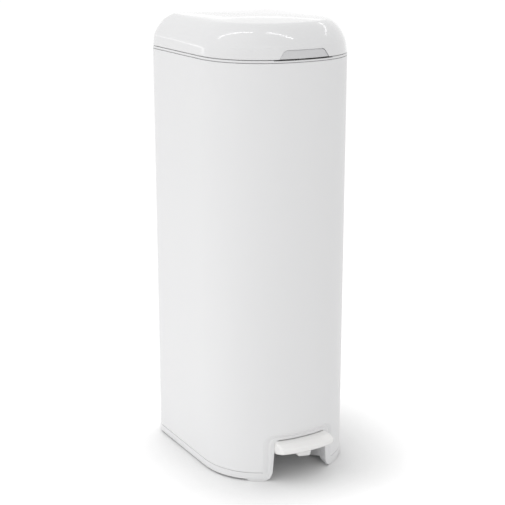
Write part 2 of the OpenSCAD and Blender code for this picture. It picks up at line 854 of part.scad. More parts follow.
module film_cutter() in_place() color("gainsboro") difference() {
    block([-cutter_half, cutter_y + 2, cutter_z1 - cutter_h],
        [cutter_half, cutter_y + 12, cutter_z1]);
    block([-cutter_half - cut, blade_y - 1, cutter_z1 - cutter_h - cut],
        [cutter_half + cut, blade_y + 1, cutter_z1 - 4]);
}

// The blade hangs in the guard's slot, and its edge stays inside the slot
module cutter_blade() in_place() color("silver") {
    y0 = blade_y - blade_t / 2;
    y1 = blade_y + blade_t / 2;
    z1 = cutter_z1 - 4 - seat;
    side_shape([[y0, z1], [y0, z1 - 5], [blade_y, z1 - 6], [y1, z1 - 5], [y1, z1]],
        -blade_half, blade_half);
}

module lock_catch() in_place() color("dimgray") {
    block([-catch_half, catch_y0, catch_z0], [catch_half, catch_y1, catch_z1]);
    block([-bolt_half, bolt_y0, catch_z0 + 0.5], [bolt_half, catch_y0 + cut, catch_z1 - 0.5]);
    block([-finger_half, finger_y1 + gap, catch_z1 - cut],
        [finger_half, finger_y1 + gap + 3, catch_top]);
}

module small_spring(x, y0, y1, z) {
    translate([x, y0, z]) rotate([-90, 0, 0]) coil(small_coil_r, small_wire_r, 4, y1 - y0);
}

module catch_spring() in_place() color("silver")
    small_spring(0, catch_y1 + button_travel + gap, catch_rib_y - gap,
        (catch_z0 + catch_z1 + cut) / 2);

// The lid and the pieces that swing with it

// Rings of the lid from its lower edge to its top face, each a distance in and a height
function lid_profile(wall) =
    let (z0 = skirt_h - wall / 2)
    let (rise = lid_h - crown_h - wall - z0)
    let (run_in = shoulder_w - wall / 2)
    concat(
        [[wall, wall > 0 ? -cut : 0], [wall, z0]],
        [for (i = [1:shoulder_steps])
            let (a = 90 * i / shoulder_steps)
            [wall + run_in * (1 - pow(cos(a), 2 / shoulder_power)),
                z0 + rise * pow(sin(a), 2 / shoulder_power)]],
        [for (i = [1:crown_steps])
            let (t = i / crown_steps)
            [shoulder_w + crown_run * t, lid_h - wall - crown_h * (1 - t) * (1 - t)]]
    );

module lid_solid(wall) {
    rings = lid_profile(wall);
    n = len(outline(0));
    m = len(rings);
    pts = [for (r = rings) for (p = outline(r[0])) [p[0], p[1], lid_z0 + r[1]]];
    walls = [for (j = [0:m - 2]) for (k = [0:n - 1])
        let (p = j * n + k)
        let (q = j * n + (k + 1) % n)
        each [[p, p + n, q], [q, p + n, q + n]]];
    polyhedron(pts, concat(
        [[for (k = [0:n - 1]) k]],
        walls,
        [[for (k = [n - 1:-1:0]) (m - 1) * n + k]]));
}

// Front view of the button, grown on all sides and carried on below by a drop
function button_shape(grow, drop = 0) =
    let (slope = (button_w - button_top_w) / 2 / button_h)
    let (b = button_w / 2 + grow + slope * drop)
    let (t = button_top_w / 2 + grow - slope * grow)
    let (z1 = button_z0 + button_h + grow)
    rounded([[-b, button_z0 - drop], [b, button_z0 - drop], [t, z1], [-t, z1]],
        [0, 0, button_r + grow, button_r + grow]);

module lid_shell() in_place() color("white") difference() {
    lid_solid(0);
    lid_solid(lid_wall);
    front_shape(button_shape(gap, cut), front_y - cut, side_y);
    both([knuckle_x - gap, back_y - lid_wall - 2, lid_z0 - cut],
        [knuckle_x + knuckle_w + gap, back_y + cut, bracket_z0 + 0.5]);
}

module lid_panel() in_place() color("white") difference() {
    union() {
        slab(panel_z0, panel_z1, panel_inset, panel_back);
        both([stem_half + gap, stem_y1 - 1.5, panel_z1 - cut],
            [stem_half + gap + rib_t, stem_y1 + 10, stem_z1]);
        both([spring_post_x[0], spring_post_y, panel_z1 - cut],
            [spring_post_x[1], spring_post_y + rib_t, stem_z1]);
    }
    intersection() {
        ring(panel_z0 - cut, panel_z1 + cut, 0, button_set + button_t + button_travel + 2 * gap);
        block([-button_w / 2 - 1, front_y, 0], [button_w / 2 + 1, side_y, far]);
    }
    block([-finger_half - 1, front_y, 0], [finger_half + 1, finger_y1 + button_travel + 1.5, far]);
}

module lid_seal() in_place() color("lightgray")
    ring(plate_z1 + 0.4, panel_z0 - seat, seal_inset, seal_w, seal_back);

// A plate inside the back of the lid, with two arms to the hinge and the lifting nose
module lid_bracket() in_place() color("whitesmoke") difference() {
    half = lid_bracket_half;
    arm_x1 = knuckle_x + knuckle_w;
    union() {
        block([-half, rod_slot_y + 1, bracket_z0], [half, lid_bracket_y1, bracket_z0 + lid_bracket_t]);
        block([-half, lid_bracket_y1 - lid_flange_t, bracket_z0],
            [half, lid_bracket_y1, lid_flange_z1]);
        both([knuckle_x, back_y - arm_depth, arm_z0], [arm_x1, hinge_y, bracket_z0]);
        both([knuckle_x, back_y - arm_depth, arm_z0 + cut],
            [arm_x1, back_y - arm_lip, bracket_z0 + cut]);
        knuckles(knuckle_x);
        rod_x(-lift_half, lift_half, rod_y, hinge_z, lift_r);
        block([-lift_half, rod_y - lift_web, hinge_z],
            [lift_half, rod_y + lift_web, bracket_z0 + 0.5]);
    }
    hinge_bore();
}

module lid_screws() in_place() color("silver") for (s = [-1, 1])
    rod_along_y(lid_bracket_y1 - lid_flange_t - seat - lid_screw_t,
        lid_bracket_y1 - lid_flange_t - seat, s * lid_screw_x, lid_screw_z, lid_screw_r);

module lock_button() in_place() color("silver") {
    intersection() {
        front_shape(button_shape(0), front_y - cut, side_y);
        ring(button_z0, button_z0 + button_h, button_set, button_t);
    }
    block([-stem_half, front_y + button_set + 1.5, stem_z0], [stem_half, stem_y1, stem_z1]);
    block([-finger_half, stem_y1 - cut, stem_z0], [finger_half, finger_y1, stem_z1]);
    block([-finger_half, finger_y1 - finger_t, finger_z0], [finger_half, finger_y1, stem_z1]);
}

module lock_springs() in_place() color("silver") for (s = [-1, 1])
    small_spring(s * (spring_post_x[0] + spring_post_x[1]) / 2, stem_y1 + button_travel + gap,
        spring_post_y - gap, (stem_z0 + stem_z1) / 2);

body_shell();
base_tray();
foot_pads();
base_screws();
top_frame();
hinge_bracket();
bracket_screws();
hinge_pin();
rod_cover();
rod_guides();
pedal_axle();
axle_clips();
axle_spacers();
pedal_lever();
pedal_pad();
pad_screws();
push_rod();
rod_foot();
rod_head();
rod_clip();
rod_spring();
collar_ring();
cassette_holder();
liner_cassette();
flap_plate();
flap_left();
flap_right();
flap_pins();
flap_springs();
film_cutter();
cutter_blade();
lock_catch();
catch_spring();
lid_shell();
lid_panel();
lid_seal();
lid_bracket();
lid_screws();
lock_button();
lock_springs();
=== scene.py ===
"""Looks of the slim pedal bin for used nappies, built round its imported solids.

Shapes are drawn in millimetres with y = 0 in the middle of the body, as in the part's
source, and new_mesh puts them in place in metres. The front is -Y and the floor is z = 0.
"""
import json
import math

import bmesh
import bpy
import numpy as np
from mathutils import Matrix, Vector


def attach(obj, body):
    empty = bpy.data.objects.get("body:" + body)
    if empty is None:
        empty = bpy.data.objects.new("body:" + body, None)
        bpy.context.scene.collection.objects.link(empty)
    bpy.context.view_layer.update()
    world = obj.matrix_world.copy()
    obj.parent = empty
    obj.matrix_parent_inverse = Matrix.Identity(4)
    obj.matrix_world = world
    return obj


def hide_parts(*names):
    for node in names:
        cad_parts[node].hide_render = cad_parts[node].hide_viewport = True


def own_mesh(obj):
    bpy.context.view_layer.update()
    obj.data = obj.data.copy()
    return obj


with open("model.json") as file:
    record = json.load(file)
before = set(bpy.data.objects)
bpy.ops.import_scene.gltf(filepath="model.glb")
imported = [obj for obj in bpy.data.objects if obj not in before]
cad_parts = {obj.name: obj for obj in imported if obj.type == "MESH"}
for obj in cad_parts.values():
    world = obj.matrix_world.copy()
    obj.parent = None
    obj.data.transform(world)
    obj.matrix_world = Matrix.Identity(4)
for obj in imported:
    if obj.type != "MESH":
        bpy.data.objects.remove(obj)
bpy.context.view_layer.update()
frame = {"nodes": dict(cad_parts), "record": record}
scene = bpy.context.scene

# Sizes, as in the part's source
MM = 0.001
SHIFT = 5.75
HALF_W, FRONT, BACK = 100, -122, 122
FRONT_DEPTH, FRONT_POWER = 93.2, 2.26
SIDE_Y = FRONT + FRONT_DEPTH
BACK_R, MIN_R = 26, 6
FOOT_X, FOOT_W, FOOT_H = 59, 24, 2.5
BAND_TOP, BAND_PROUD = 11.6, 0.3
PLUG_IN, PLUG_INNER = 1.1, 3.3
STEEL_Z0, STEEL_Z1, STEEL_T = 12.2, 550.4, 0.8
RIM_Z0, RIM_Z1, RIM_IN = 551.0, 553.9, 6.6
LID_Z0, LID_H, LID_WALL = 554.6, 45.4, 2.5
DECK_Z0, DECK_TOP = 68, 70.5
BAY_HALF, BAY_H, BAY_R = 41, 57, 7
TRIM_HALF, TRIM_Z, TRIM_R = 53.5, 64.7, 13
AXLE_Y, AXLE_Z = 6, 30
HINGE_Y, HINGE_Z = 128, 554
ROD_Y = 106
CLEAR = 10  # how far a cutter starts ahead of the front
FAR = 200  # beyond every face of the object


# Flat lines

FRONT_STEPS, SIDE_STEPS, CORNER_STEPS, BACK_STEPS = 132, 20, 16, 18


def bulge(v):
    """A cosine or sine, drawn out towards the corners of the curved front."""
    return np.sign(v) * np.abs(v) ** (2 / FRONT_POWER)


def even_turns(count):
    """Angles along the curved front that put its points at even distances."""
    t = np.linspace(math.pi, 2 * math.pi, 4001)
    x, y = HALF_W * bulge(np.cos(t)), FRONT_DEPTH * bulge(np.sin(t))
    run = np.r_[0, np.cumsum(np.hypot(np.diff(x), np.diff(y)))]
    return np.interp(np.linspace(0, run[-1], count + 1), run, t)


FRONT_TURNS = even_turns(FRONT_STEPS)[:-1]


def plan_line(inset=0.0, back_in=0.0):
    """The body's outline from above, set in by one distance, or by one for each point."""
    counts = (FRONT_STEPS, SIDE_STEPS, CORNER_STEPS, BACK_STEPS, CORNER_STEPS, SIDE_STEPS)
    inset = np.broadcast_to(np.asarray(inset, float), sum(counts))
    stops = np.r_[0, np.cumsum(counts)]
    hw = HALF_W - inset
    yb = BACK - inset - back_in
    r = np.maximum(BACK_R - inset * 0.6, MIN_R)
    xs, ys = np.zeros(len(inset)), np.zeros(len(inset))
    parts = [slice(a, b) for a, b in zip(stops[:-1], stops[1:])]
    share = [np.arange(n) / n for n in counts]
    p = parts[0]
    xs[p] = hw[p] * bulge(np.cos(FRONT_TURNS))
    ys[p] = SIDE_Y + (FRONT_DEPTH - inset[p]) * bulge(np.sin(FRONT_TURNS))
    for p, u, side in ((parts[1], share[1], 1), (parts[5], 1 - share[5], -1)):
        xs[p] = side * hw[p]
        ys[p] = SIDE_Y + u * (yb[p] - r[p] - SIDE_Y)
    for p, u, side in ((parts[2], share[2], 1), (parts[4], 1 - share[4], -1)):
        a = u * math.pi / 2
        xs[p] = side * (hw[p] - r[p] + r[p] * np.cos(a))
        ys[p] = yb[p] - r[p] + r[p] * np.sin(a)
    p = parts[3]
    xs[p] = (hw[p] - r[p]) * (1 - 2 * share[3])
    ys[p] = yb[p]
    return np.stack([xs, ys], 1)


def front_face(x, inset=0.0):
    """How far forward the curved front stands at x, set in by a distance."""
    share = np.clip(np.abs(x) / (HALF_W - inset), 0, 1)
    return SIDE_Y - (FRONT_DEPTH - inset) * (1 - share ** FRONT_POWER) ** (1 / FRONT_POWER)


def rounded(points, radii, steps=5):
    """A closed flat line with each corner rounded to its own radius."""
    points = [np.asarray(p, float) for p in points]
    line = []
    for i, p in enumerate(points):
        if radii[i] <= 0:
            line.append(p)
            continue
        a, b = points[i - 1] - p, points[(i + 1) % len(points)] - p
        la, lb = np.linalg.norm(a), np.linalg.norm(b)
        u, v = a / la, b / lb
        half = math.acos(np.clip(u @ v, -1, 1)) / 2
        reach = min(radii[i] / math.tan(half), la * 0.49, lb * 0.49)
        r = reach * math.tan(half)
        centre = p + (u + v) / np.linalg.norm(u + v) * r / math.sin(half)
        s, e = p + u * reach - centre, p + v * reach - centre
        turn = math.atan2(s[0] * e[1] - s[1] * e[0], s @ e)
        for w in np.linspace(0, turn, steps + 1):
            c, d = math.cos(w), math.sin(w)
            line.append(centre + np.array([s[0] * c - s[1] * d, s[0] * d + s[1] * c]))
    return np.array(line)


def even(points, count):
    """A closed line again, with points at even distances."""
    points = np.concatenate([points, points[:1]])
    run = np.r_[0, np.cumsum(np.linalg.norm(np.diff(points, axis=0), axis=1))]
    u = np.linspace(0, run[-1], count + 1)[:-1]
    return np.stack([np.interp(u, run, points[:, k]) for k in range(2)], 1)


def dense(points, longest):
    """A closed line with extra points on its long stretches."""
    line = []
    for p, q in zip(points, np.roll(points, -1, 0)):
        count = max(int(np.linalg.norm(q - p) / longest), 1)
        line += [p + (q - p) * k / count for k in range(count)]
    return np.array(line)


def shrunk(points, distance):
    """A closed flat line, counter-clockwise, moved inwards along its own corners."""
    before = points - np.roll(points, 1, 0)
    after = np.roll(points, -1, 0) - points
    before /= np.maximum(np.linalg.norm(before, axis=1), 1e-9)[:, None]
    after /= np.maximum(np.linalg.norm(after, axis=1), 1e-9)[:, None]
    n1 = np.stack([-before[:, 1], before[:, 0]], 1)
    n2 = np.stack([-after[:, 1], after[:, 0]], 1)
    scale = distance / np.maximum(1 + np.sum(n1 * n2, 1), 0.3)
    return points + (n1 + n2) * scale[:, None]


def circle(y, z, r, count=48):
    w = np.linspace(0, 2 * math.pi, count + 1)[:-1]
    return np.stack([y + r * np.cos(w), z + r * np.sin(w)], 1)


def arch(half, top, r, bottom):
    """A doorway's outline as (x, z), with rounded upper corners."""
    return rounded([[-half, bottom], [half, bottom], [half, top], [-half, top]],
                   [0, 0, r, r], 8)


# Solids

def skin(rings, closed=False, cap_start=False, cap_end=False):
    """Vertices and faces of a surface through rings of equal length."""
    n, m = len(rings[0]), len(rings)
    faces = []
    for j in range(m if closed else m - 1):
        a, b = j * n, (j + 1) % m * n
        faces += [(a + k, a + (k + 1) % n, b + (k + 1) % n, b + k) for k in range(n)]
    verts = np.concatenate(rings)
    for wanted, base, flip in ((cap_start, 0, True), (cap_end, (m - 1) * n, False)):
        if wanted:
            verts = np.concatenate([verts, [rings[0 if flip else -1].mean(0)]])
            c = len(verts) - 1
            faces += [(base + (k + 1) % n, base + k, c) if flip
                      else (base + k, base + (k + 1) % n, c) for k in range(n)]
    return verts, faces


def solid(rings):
    return skin(rings, cap_start=True, cap_end=True)


def wall_ring(section, back_in=0.0):
    """A ring that follows the body's outline; the section is a closed line of (inset, z)."""
    rings = []
    for inset, z in section:
        line = plan_line(inset, back_in)
        rings.append(np.c_[line, np.full(len(line), z)])
    return skin(rings, closed=True)


def bar(points, x0, x1, edge=0.4, steps=2):
    """A shape in (y, z), made solid from x0 to x1 with rounded end edges."""
    points = np.asarray(points, float)
    turned = np.roll(points, -1, 0)
    if np.sum(points[:, 0] * turned[:, 1] - turned[:, 0] * points[:, 1]) < 0:
        points = points[::-1]
    turns = np.linspace(0, math.pi / 2, steps + 1)
    ends = [(edge * (1 - math.cos(w)), edge * (1 - math.sin(w))) for w in turns]
    places = [(x0 + p, e) for p, e in ends] + [(x1 - p, e) for p, e in ends[::-1]]
    rings = []
    for place, inwards in places:
        flat = shrunk(points, inwards)
        rings.append(np.c_[np.full(len(flat), place), flat])
    return solid(rings)


def extruded_front(points, y0, y1):
    """A shape in (x, z), made solid from y0 to y1."""
    flat = np.asarray(points, float)
    rings = [np.c_[flat[:, 0], np.full(len(flat), y), flat[:, 1]] for y in (y0, y1)]
    return solid(rings)


def upright(points, z0, z1, edge=0.4):
    """A shape in (x, y), made solid from z0 to z1 with rounded end edges."""
    verts, faces = bar(points, z0, z1, edge)
    return verts[:, [1, 2, 0]], faces


def block(lo, hi):
    """A plain box for cutting."""
    v = [(x, y, z) for x in (lo[0], hi[0]) for y in (lo[1], hi[1]) for z in (lo[2], hi[2])]
    f = [(0, 1, 3, 2), (4, 6, 7, 5), (0, 4, 5, 1), (2, 3, 7, 6), (0, 2, 6, 4), (1, 5, 7, 3)]
    return np.array(v, float), f


def join(parts):
    """Several (verts, faces) pairs as one."""
    verts, faces, base = [], [], 0
    for v, f in parts:
        verts.append(np.asarray(v))
        faces += [tuple(i + base for i in face) for face in f]
        base += len(v)
    return np.concatenate(verts), faces


# Pieces

def add_object(name, data):
    item = bpy.data.objects.new(name, data)
    scene.collection.objects.link(item)
    return item


def new_mesh(name, verts, faces, material=None, sharp=32):
    """An object in metres from a shape drawn in millimetres."""
    mesh = bpy.data.meshes.new(name)
    placed = (np.asarray(verts, float) + (0, SHIFT, 0)) * MM
    mesh.from_pydata([tuple(v) for v in placed], [], [tuple(f) for f in faces])
    mesh.validate()
    piece = add_object(name, mesh)
    if faces:
        recalculate(piece)
    if material:
        mesh.materials.append(material)
    return soften(piece, sharp)


def recalculate(piece):
    bm = bmesh.new()
    bm.from_mesh(piece.data)
    bmesh.ops.recalc_face_normals(bm, faces=bm.faces)
    bm.to_mesh(piece.data)
    bm.free()


def soften(piece, sharp=32):
    """Smooth shading, with the edges past an angle left sharp."""
    piece.data.shade_smooth()
    piece.data.set_sharp_from_angle(angle=math.radians(sharp))
    return piece


def apply_modifiers(piece):
    """Turns a piece with modifiers into a plain mesh."""
    graph = bpy.context.evaluated_depsgraph_get()
    mesh = bpy.data.meshes.new_from_object(piece.evaluated_get(graph))
    old = piece.data
    piece.modifiers.clear()
    piece.data = mesh
    bpy.data.meshes.remove(old)
    return piece


def cut(piece, cutters):
    """Takes the cutters' solids out of a piece."""
    for verts, faces in cutters:
        tool = new_mesh("cutter", verts, faces)
        step = piece.modifiers.new("cut", "BOOLEAN")
        step.object = tool
        step.operation = "DIFFERENCE"
        step.solver = "EXACT"
        apply_modifiers(piece)
        bpy.data.objects.remove(tool)
    return piece


def rounded_edges(piece, width):
    """Softens a piece's edges by a width in millimetres."""
    step = piece.modifiers.new("edge", "BEVEL")
    step.width = width * MM
    step.segments = 2
    step.limit_method = "ANGLE"
    step.angle_limit = math.radians(40)
    step.use_clamp_overlap = False
    return apply_modifiers(piece)


def unite(name, pieces, sharp=32):
    """Joins pieces into one object; their shells stay whole."""
    first = pieces[0]
    bpy.ops.object.select_all(action="DESELECT")
    for p in pieces:
        p.select_set(True)
    bpy.context.view_layer.objects.active = first
    bpy.ops.object.join()
    first.name = name
    first.data.name = name
    return soften(first, sharp)


def refined(name, width):
    """A copy of a node's solid with whole faces and rounded edges."""
    mesh = frame["nodes"][name].data.copy()
    bm = bmesh.new()
    bm.from_mesh(mesh)
    bmesh.ops.remove_doubles(bm, verts=bm.verts, dist=1e-6)
    bmesh.ops.dissolve_limit(bm, angle_limit=math.radians(0.5), verts=bm.verts, edges=bm.edges)
    bm.to_mesh(mesh)
    bm.free()
    mesh.materials.clear()
    piece = add_object(name + "_finish", mesh)
    if width:
        rounded_edges(piece, width)
    return soften(piece, 34)


# Materials

def socket(tree, name, kind, in_out, value=None):
    made = tree.interface.new_socket(name=name, in_out=in_out, socket_type=kind)
    if value is not None:
        made.default_value = value
    return made


def fill(tree, made, inputs):
    """Sets a node's inputs: pairs of a socket and a value or another node's socket."""
    for key, value in inputs:
        if isinstance(value, bpy.types.NodeSocket):
            tree.links.new(value, made.inputs[key])
        else:
            made.inputs[key].default_value = value
    return made


def node(tree, kind, inputs=(), **settings):
    made = tree.nodes.new(kind)
    for key, value in settings.items():
        setattr(made, key, value)
    return fill(tree, made, inputs)


def shade(tree, kind, inputs=(), **settings):
    return node(tree, "ShaderNode" + kind, inputs, **settings)


def geo(tree, kind, inputs=(), **settings):
    return node(tree, "GeometryNode" + kind, inputs, **settings)


def maths(tree, operation, *values):
    made = shade(tree, "Math", enumerate(values), operation=operation)
    return made.outputs[0]


def new_group(name, inputs, outputs):
    """A shader group with number sockets, what comes in and the place on the object."""
    g = bpy.data.node_groups.new(name, "ShaderNodeTree")
    for label, value in inputs:
        socket(g, label, "NodeSocketFloat", "INPUT", value)
    for label in outputs:
        socket(g, label, "NodeSocketFloat", "OUTPUT")
    return g, node(g, "NodeGroupInput").outputs, shade(g, "TexCoord").outputs["Object"]


def surface_group():
    """Fine moulding or coating texture, and broad variation of tone and gloss."""
    g, inside, place = new_group("surface_variation", [
        ("Grain size", 900.0), ("Broad size", 9.0), ("Tone", 0.02), ("Gloss", 0.04),
        ("Roughness", 0.4)], ["Roughness", "Height"])
    socket(g, "Color", "NodeSocketColor", "INPUT", (0.8, 0.8, 0.8, 1))
    socket(g, "Color", "NodeSocketColor", "OUTPUT")
    fine = shade(g, "TexNoise", [("Vector", place), ("Scale", inside["Grain size"]),
                                 ("Detail", 3.0), ("Roughness", 0.55)]).outputs["Fac"]
    broad = shade(g, "TexNoise", [("Vector", place), ("Scale", inside["Broad size"]),
                                  ("Detail", 4.0)]).outputs["Fac"]
    sway = maths(g, "SUBTRACT", broad, 0.5)
    tone = maths(g, "MULTIPLY_ADD", sway, inside["Tone"], 1.0)
    paint = shade(g, "VectorMath", [(0, inside["Color"]), ("Scale", tone)], operation="SCALE")
    both = maths(g, "ADD", maths(g, "SUBTRACT", fine, 0.5), sway)
    rough = maths(g, "MULTIPLY_ADD", both, inside["Gloss"], inside["Roughness"])
    node(g, "NodeGroupOutput", [("Color", paint.outputs[0]), ("Roughness", rough),
                                ("Height", fine)])
    return g


def edge_group():
    """A mask along the outer edges, broken up by noise."""
    g, inside, place = new_group("edge_mask", [("Strength", 0.3), ("Breakup", 60.0)], ["Mask"])
    point = shade(g, "NewGeometry").outputs["Pointiness"]
    ramp = shade(g, "MapRange", [("Value", point), ("From Min", 0.52), ("From Max", 0.62)])
    noise = shade(g, "TexNoise", [("Vector", place), ("Scale", inside["Breakup"])])
    part = maths(g, "MULTIPLY", ramp.outputs["Result"], noise.outputs["Fac"])
    node(g, "NodeGroupOutput", [("Mask", maths(g, "MULTIPLY", part, inside["Strength"]))])
    return g


def brushed_group():
    """Fine drawn lines along Z, for rolled and drawn metal."""
    g, inside, place = new_group("drawn_lines", [("Across", 2600.0), ("Along", 40.0)], ["Height"])
    scale = shade(g, "CombineXYZ", [("X", inside["Across"]), ("Y", inside["Across"]),
                                    ("Z", inside["Along"])])
    spread = shade(g, "VectorMath", [(0, place), (1, scale.outputs[0])], operation="MULTIPLY")
    noise = shade(g, "TexNoise", [("Vector", spread.outputs[0]), ("Scale", 1.0), ("Detail", 2.0)])
    node(g, "NodeGroupOutput", [("Height", noise.outputs["Fac"])])
    return g


SURFACE = surface_group()
EDGES = edge_group()
DRAWN = brushed_group()


def finish_of(name, color, rough, grain=1600, bump=0.12, depth=0.0001, metal=0.0, coat=0.0,
              tone=0.03, gloss=0.1, broad=9.0, edge=0.0, edge_color=(0.95, 0.95, 0.95, 1),
              drawn=False, shine=0.5):
    """A material made of the shared groups, with its own values."""
    m = bpy.data.materials.new(name)
    m.use_nodes = True
    tree = m.node_tree
    group = shade(tree, "Group", [
        ("Grain size", grain), ("Broad size", broad), ("Tone", tone), ("Gloss", gloss),
        ("Roughness", rough), ("Color", (*color, 1))], node_tree=SURFACE)
    paint, height = group.outputs["Color"], group.outputs["Height"]
    if edge:
        mask = shade(tree, "Group", [("Strength", edge)], node_tree=EDGES)
        paint = shade(tree, "Mix", [("Factor", mask.outputs["Mask"]), ("A", paint),
                                    ("B", edge_color)], data_type="RGBA").outputs["Result"]
    if drawn:
        height = shade(tree, "Group", node_tree=DRAWN).outputs["Height"]
    relief = shade(tree, "Bump", [("Strength", bump), ("Distance", depth), ("Height", height)])
    fill(tree, tree.nodes["Principled BSDF"], [
        ("Base Color", paint), ("Roughness", group.outputs["Roughness"]),
        ("Normal", relief.outputs["Normal"]), ("Metallic", metal),
        ("Specular IOR Level", shine), ("Coat Weight", coat), ("Coat Roughness", 0.05)])
    return m


FINISHES = {
    "steel_body": finish_of(
        "white_powder_coat", (0.83, 0.83, 0.835), 0.36, grain=1500, bump=0.05, depth=0.00008,
        tone=0.008, gloss=0.05),
    "lid_white": finish_of(
        "glossy_white_lid", (0.8, 0.8, 0.805), 0.2, grain=160, bump=0.012, depth=0.0002,
        coat=1.0, tone=0.006, gloss=0.03, shine=0.2),
    "base_white": finish_of(
        "white_base_moulding", (0.8, 0.8, 0.805), 0.38, grain=2200, tone=0.015, gloss=0.08),
    "pedal_white": finish_of(
        "white_pedal_moulding", (0.9, 0.895, 0.885), 0.24, grain=2000, bump=0.04, tone=0.015,
        gloss=0.08, coat=0.3),
    "rim_white": finish_of(
        "white_rim_moulding", (0.8, 0.8, 0.805), 0.3, grain=1800, bump=0.05, tone=0.01,
        gloss=0.04),
    "tab_grey": finish_of(
        "grey_tab_moulding", (0.66, 0.66, 0.67), 0.36, grain=2400, bump=0.1, tone=0.02,
        gloss=0.08),
    "inner_white": finish_of("plain_white_moulding", (0.7, 0.7, 0.7), 0.5, bump=0.15, edge=0.2),
    "cassette_blue": finish_of("pale_blue_moulding", (0.42, 0.53, 0.62), 0.45, edge=0.2),
    "dark_plastic": finish_of(
        "dark_moulding", (0.05, 0.05, 0.055), 0.5, bump=0.15, tone=0.2, edge=0.3,
        edge_color=(0.12, 0.12, 0.12, 1)),
    "seal_grey": finish_of(
        "grey_seal_rubber", (0.4, 0.4, 0.4), 0.75, grain=2600, bump=0.25, tone=0.08),
    "foot_white": finish_of(
        "white_foot_rubber", (0.78, 0.78, 0.78), 0.6, grain=2600, bump=0.2, tone=0.05),
    "zinc_steel": finish_of(
        "zinc_plated_steel", (0.62, 0.63, 0.65), 0.34, grain=700, bump=0.06, metal=1.0,
        tone=0.12, gloss=0.25, broad=60, edge=0.4, edge_color=(0.8, 0.8, 0.82, 1)),
    "spring_steel": finish_of(
        "bright_spring_wire", (0.5, 0.5, 0.52), 0.28, grain=1200, bump=0.05, metal=1.0,
        tone=0.1, gloss=0.2, broad=120)}
drawn_steel = finish_of("drawn_steel_rod", (0.6, 0.61, 0.62), 0.26, grain=900, metal=1.0,
                        tone=0.08, gloss=0.2, broad=40, drawn=True)
SLOTS = {s["node"]: s["material_slot"] for s in frame["record"]["subparts"]}
BODIES = {name: body for body, names in frame["record"]["behaviour"]["bodies"].items()
          for name in names}


def dress(piece, name, finish=None):
    """Puts a finished piece on its body, in place of its solid."""
    piece.data.materials.clear()
    piece.data.materials.append(finish or FINISHES[SLOTS[name]])
    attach(piece, BODIES[name])
    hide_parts(name)
    return piece


# Trees for what repeats

def new_tree(name, sizes):
    """An empty tree with a named input for each size and one for the finish."""
    tree = bpy.data.node_groups.new(name, "GeometryNodeTree")
    socket(tree, "Geometry", "NodeSocketGeometry", "INPUT")
    for label, kind, value in sizes:
        socket(tree, label, "NodeSocket" + kind, "INPUT", value)
    socket(tree, "Finish", "NodeSocketMaterial", "INPUT")
    socket(tree, "Geometry", "NodeSocketGeometry", "OUTPUT")
    return tree, node(tree, "NodeGroupInput").outputs


def close_tree(tree, inside, shape):
    """Every tree ends in real copies with the finish on them."""
    real = geo(tree, "RealizeInstances", [("Geometry", shape)])
    paint = geo(tree, "SetMaterial", [("Geometry", real.outputs["Geometry"]),
                                      ("Material", inside["Finish"])])
    node(tree, "NodeGroupOutput", [("Geometry", paint.outputs["Geometry"])])
    return tree


def raised(tree, shape, z):
    place = shade(tree, "CombineXYZ", [("X", 0.0), ("Y", 0.0), ("Z", z)])
    step = geo(tree, "Transform", [("Geometry", shape), ("Translation", place.outputs[0])])
    return step.outputs["Geometry"]


def copies(tree, inside, shape):
    """A copy of the shape on each point, its Z turned to the tree's direction."""
    turn = node(tree, "FunctionNodeAlignRotationToVector", [("Vector", inside["Facing"])],
                axis="Z")
    step = geo(tree, "InstanceOnPoints", [("Points", inside["Geometry"]), ("Instance", shape),
                                          ("Rotation", turn.outputs["Rotation"])])
    return step.outputs["Instances"]


def coil_tree():
    """A coil spring along +Z from each point."""
    tree, inside = new_tree("coil_spring", [
        ("Coil radius", "Float", 0.004), ("Wire radius", "Float", 0.0005),
        ("Turns", "Float", 8.0), ("Length", "Float", 0.05), ("Facing", "Vector", (0, 0, 1))])
    r = inside["Coil radius"]
    spiral = geo(tree, "CurveSpiral", [
        ("Resolution", 28), ("Rotations", inside["Turns"]), ("Start Radius", r),
        ("End Radius", r), ("Height", inside["Length"])])
    profile = geo(tree, "CurvePrimitiveCircle", [("Resolution", 10),
                                                 ("Radius", inside["Wire radius"])])
    tube = geo(tree, "CurveToMesh", [
        ("Curve", spiral.outputs["Curve"]), ("Profile Curve", profile.outputs["Curve"]),
        ("Fill Caps", True)])
    return close_tree(tree, inside, copies(tree, inside, tube.outputs["Mesh"]))


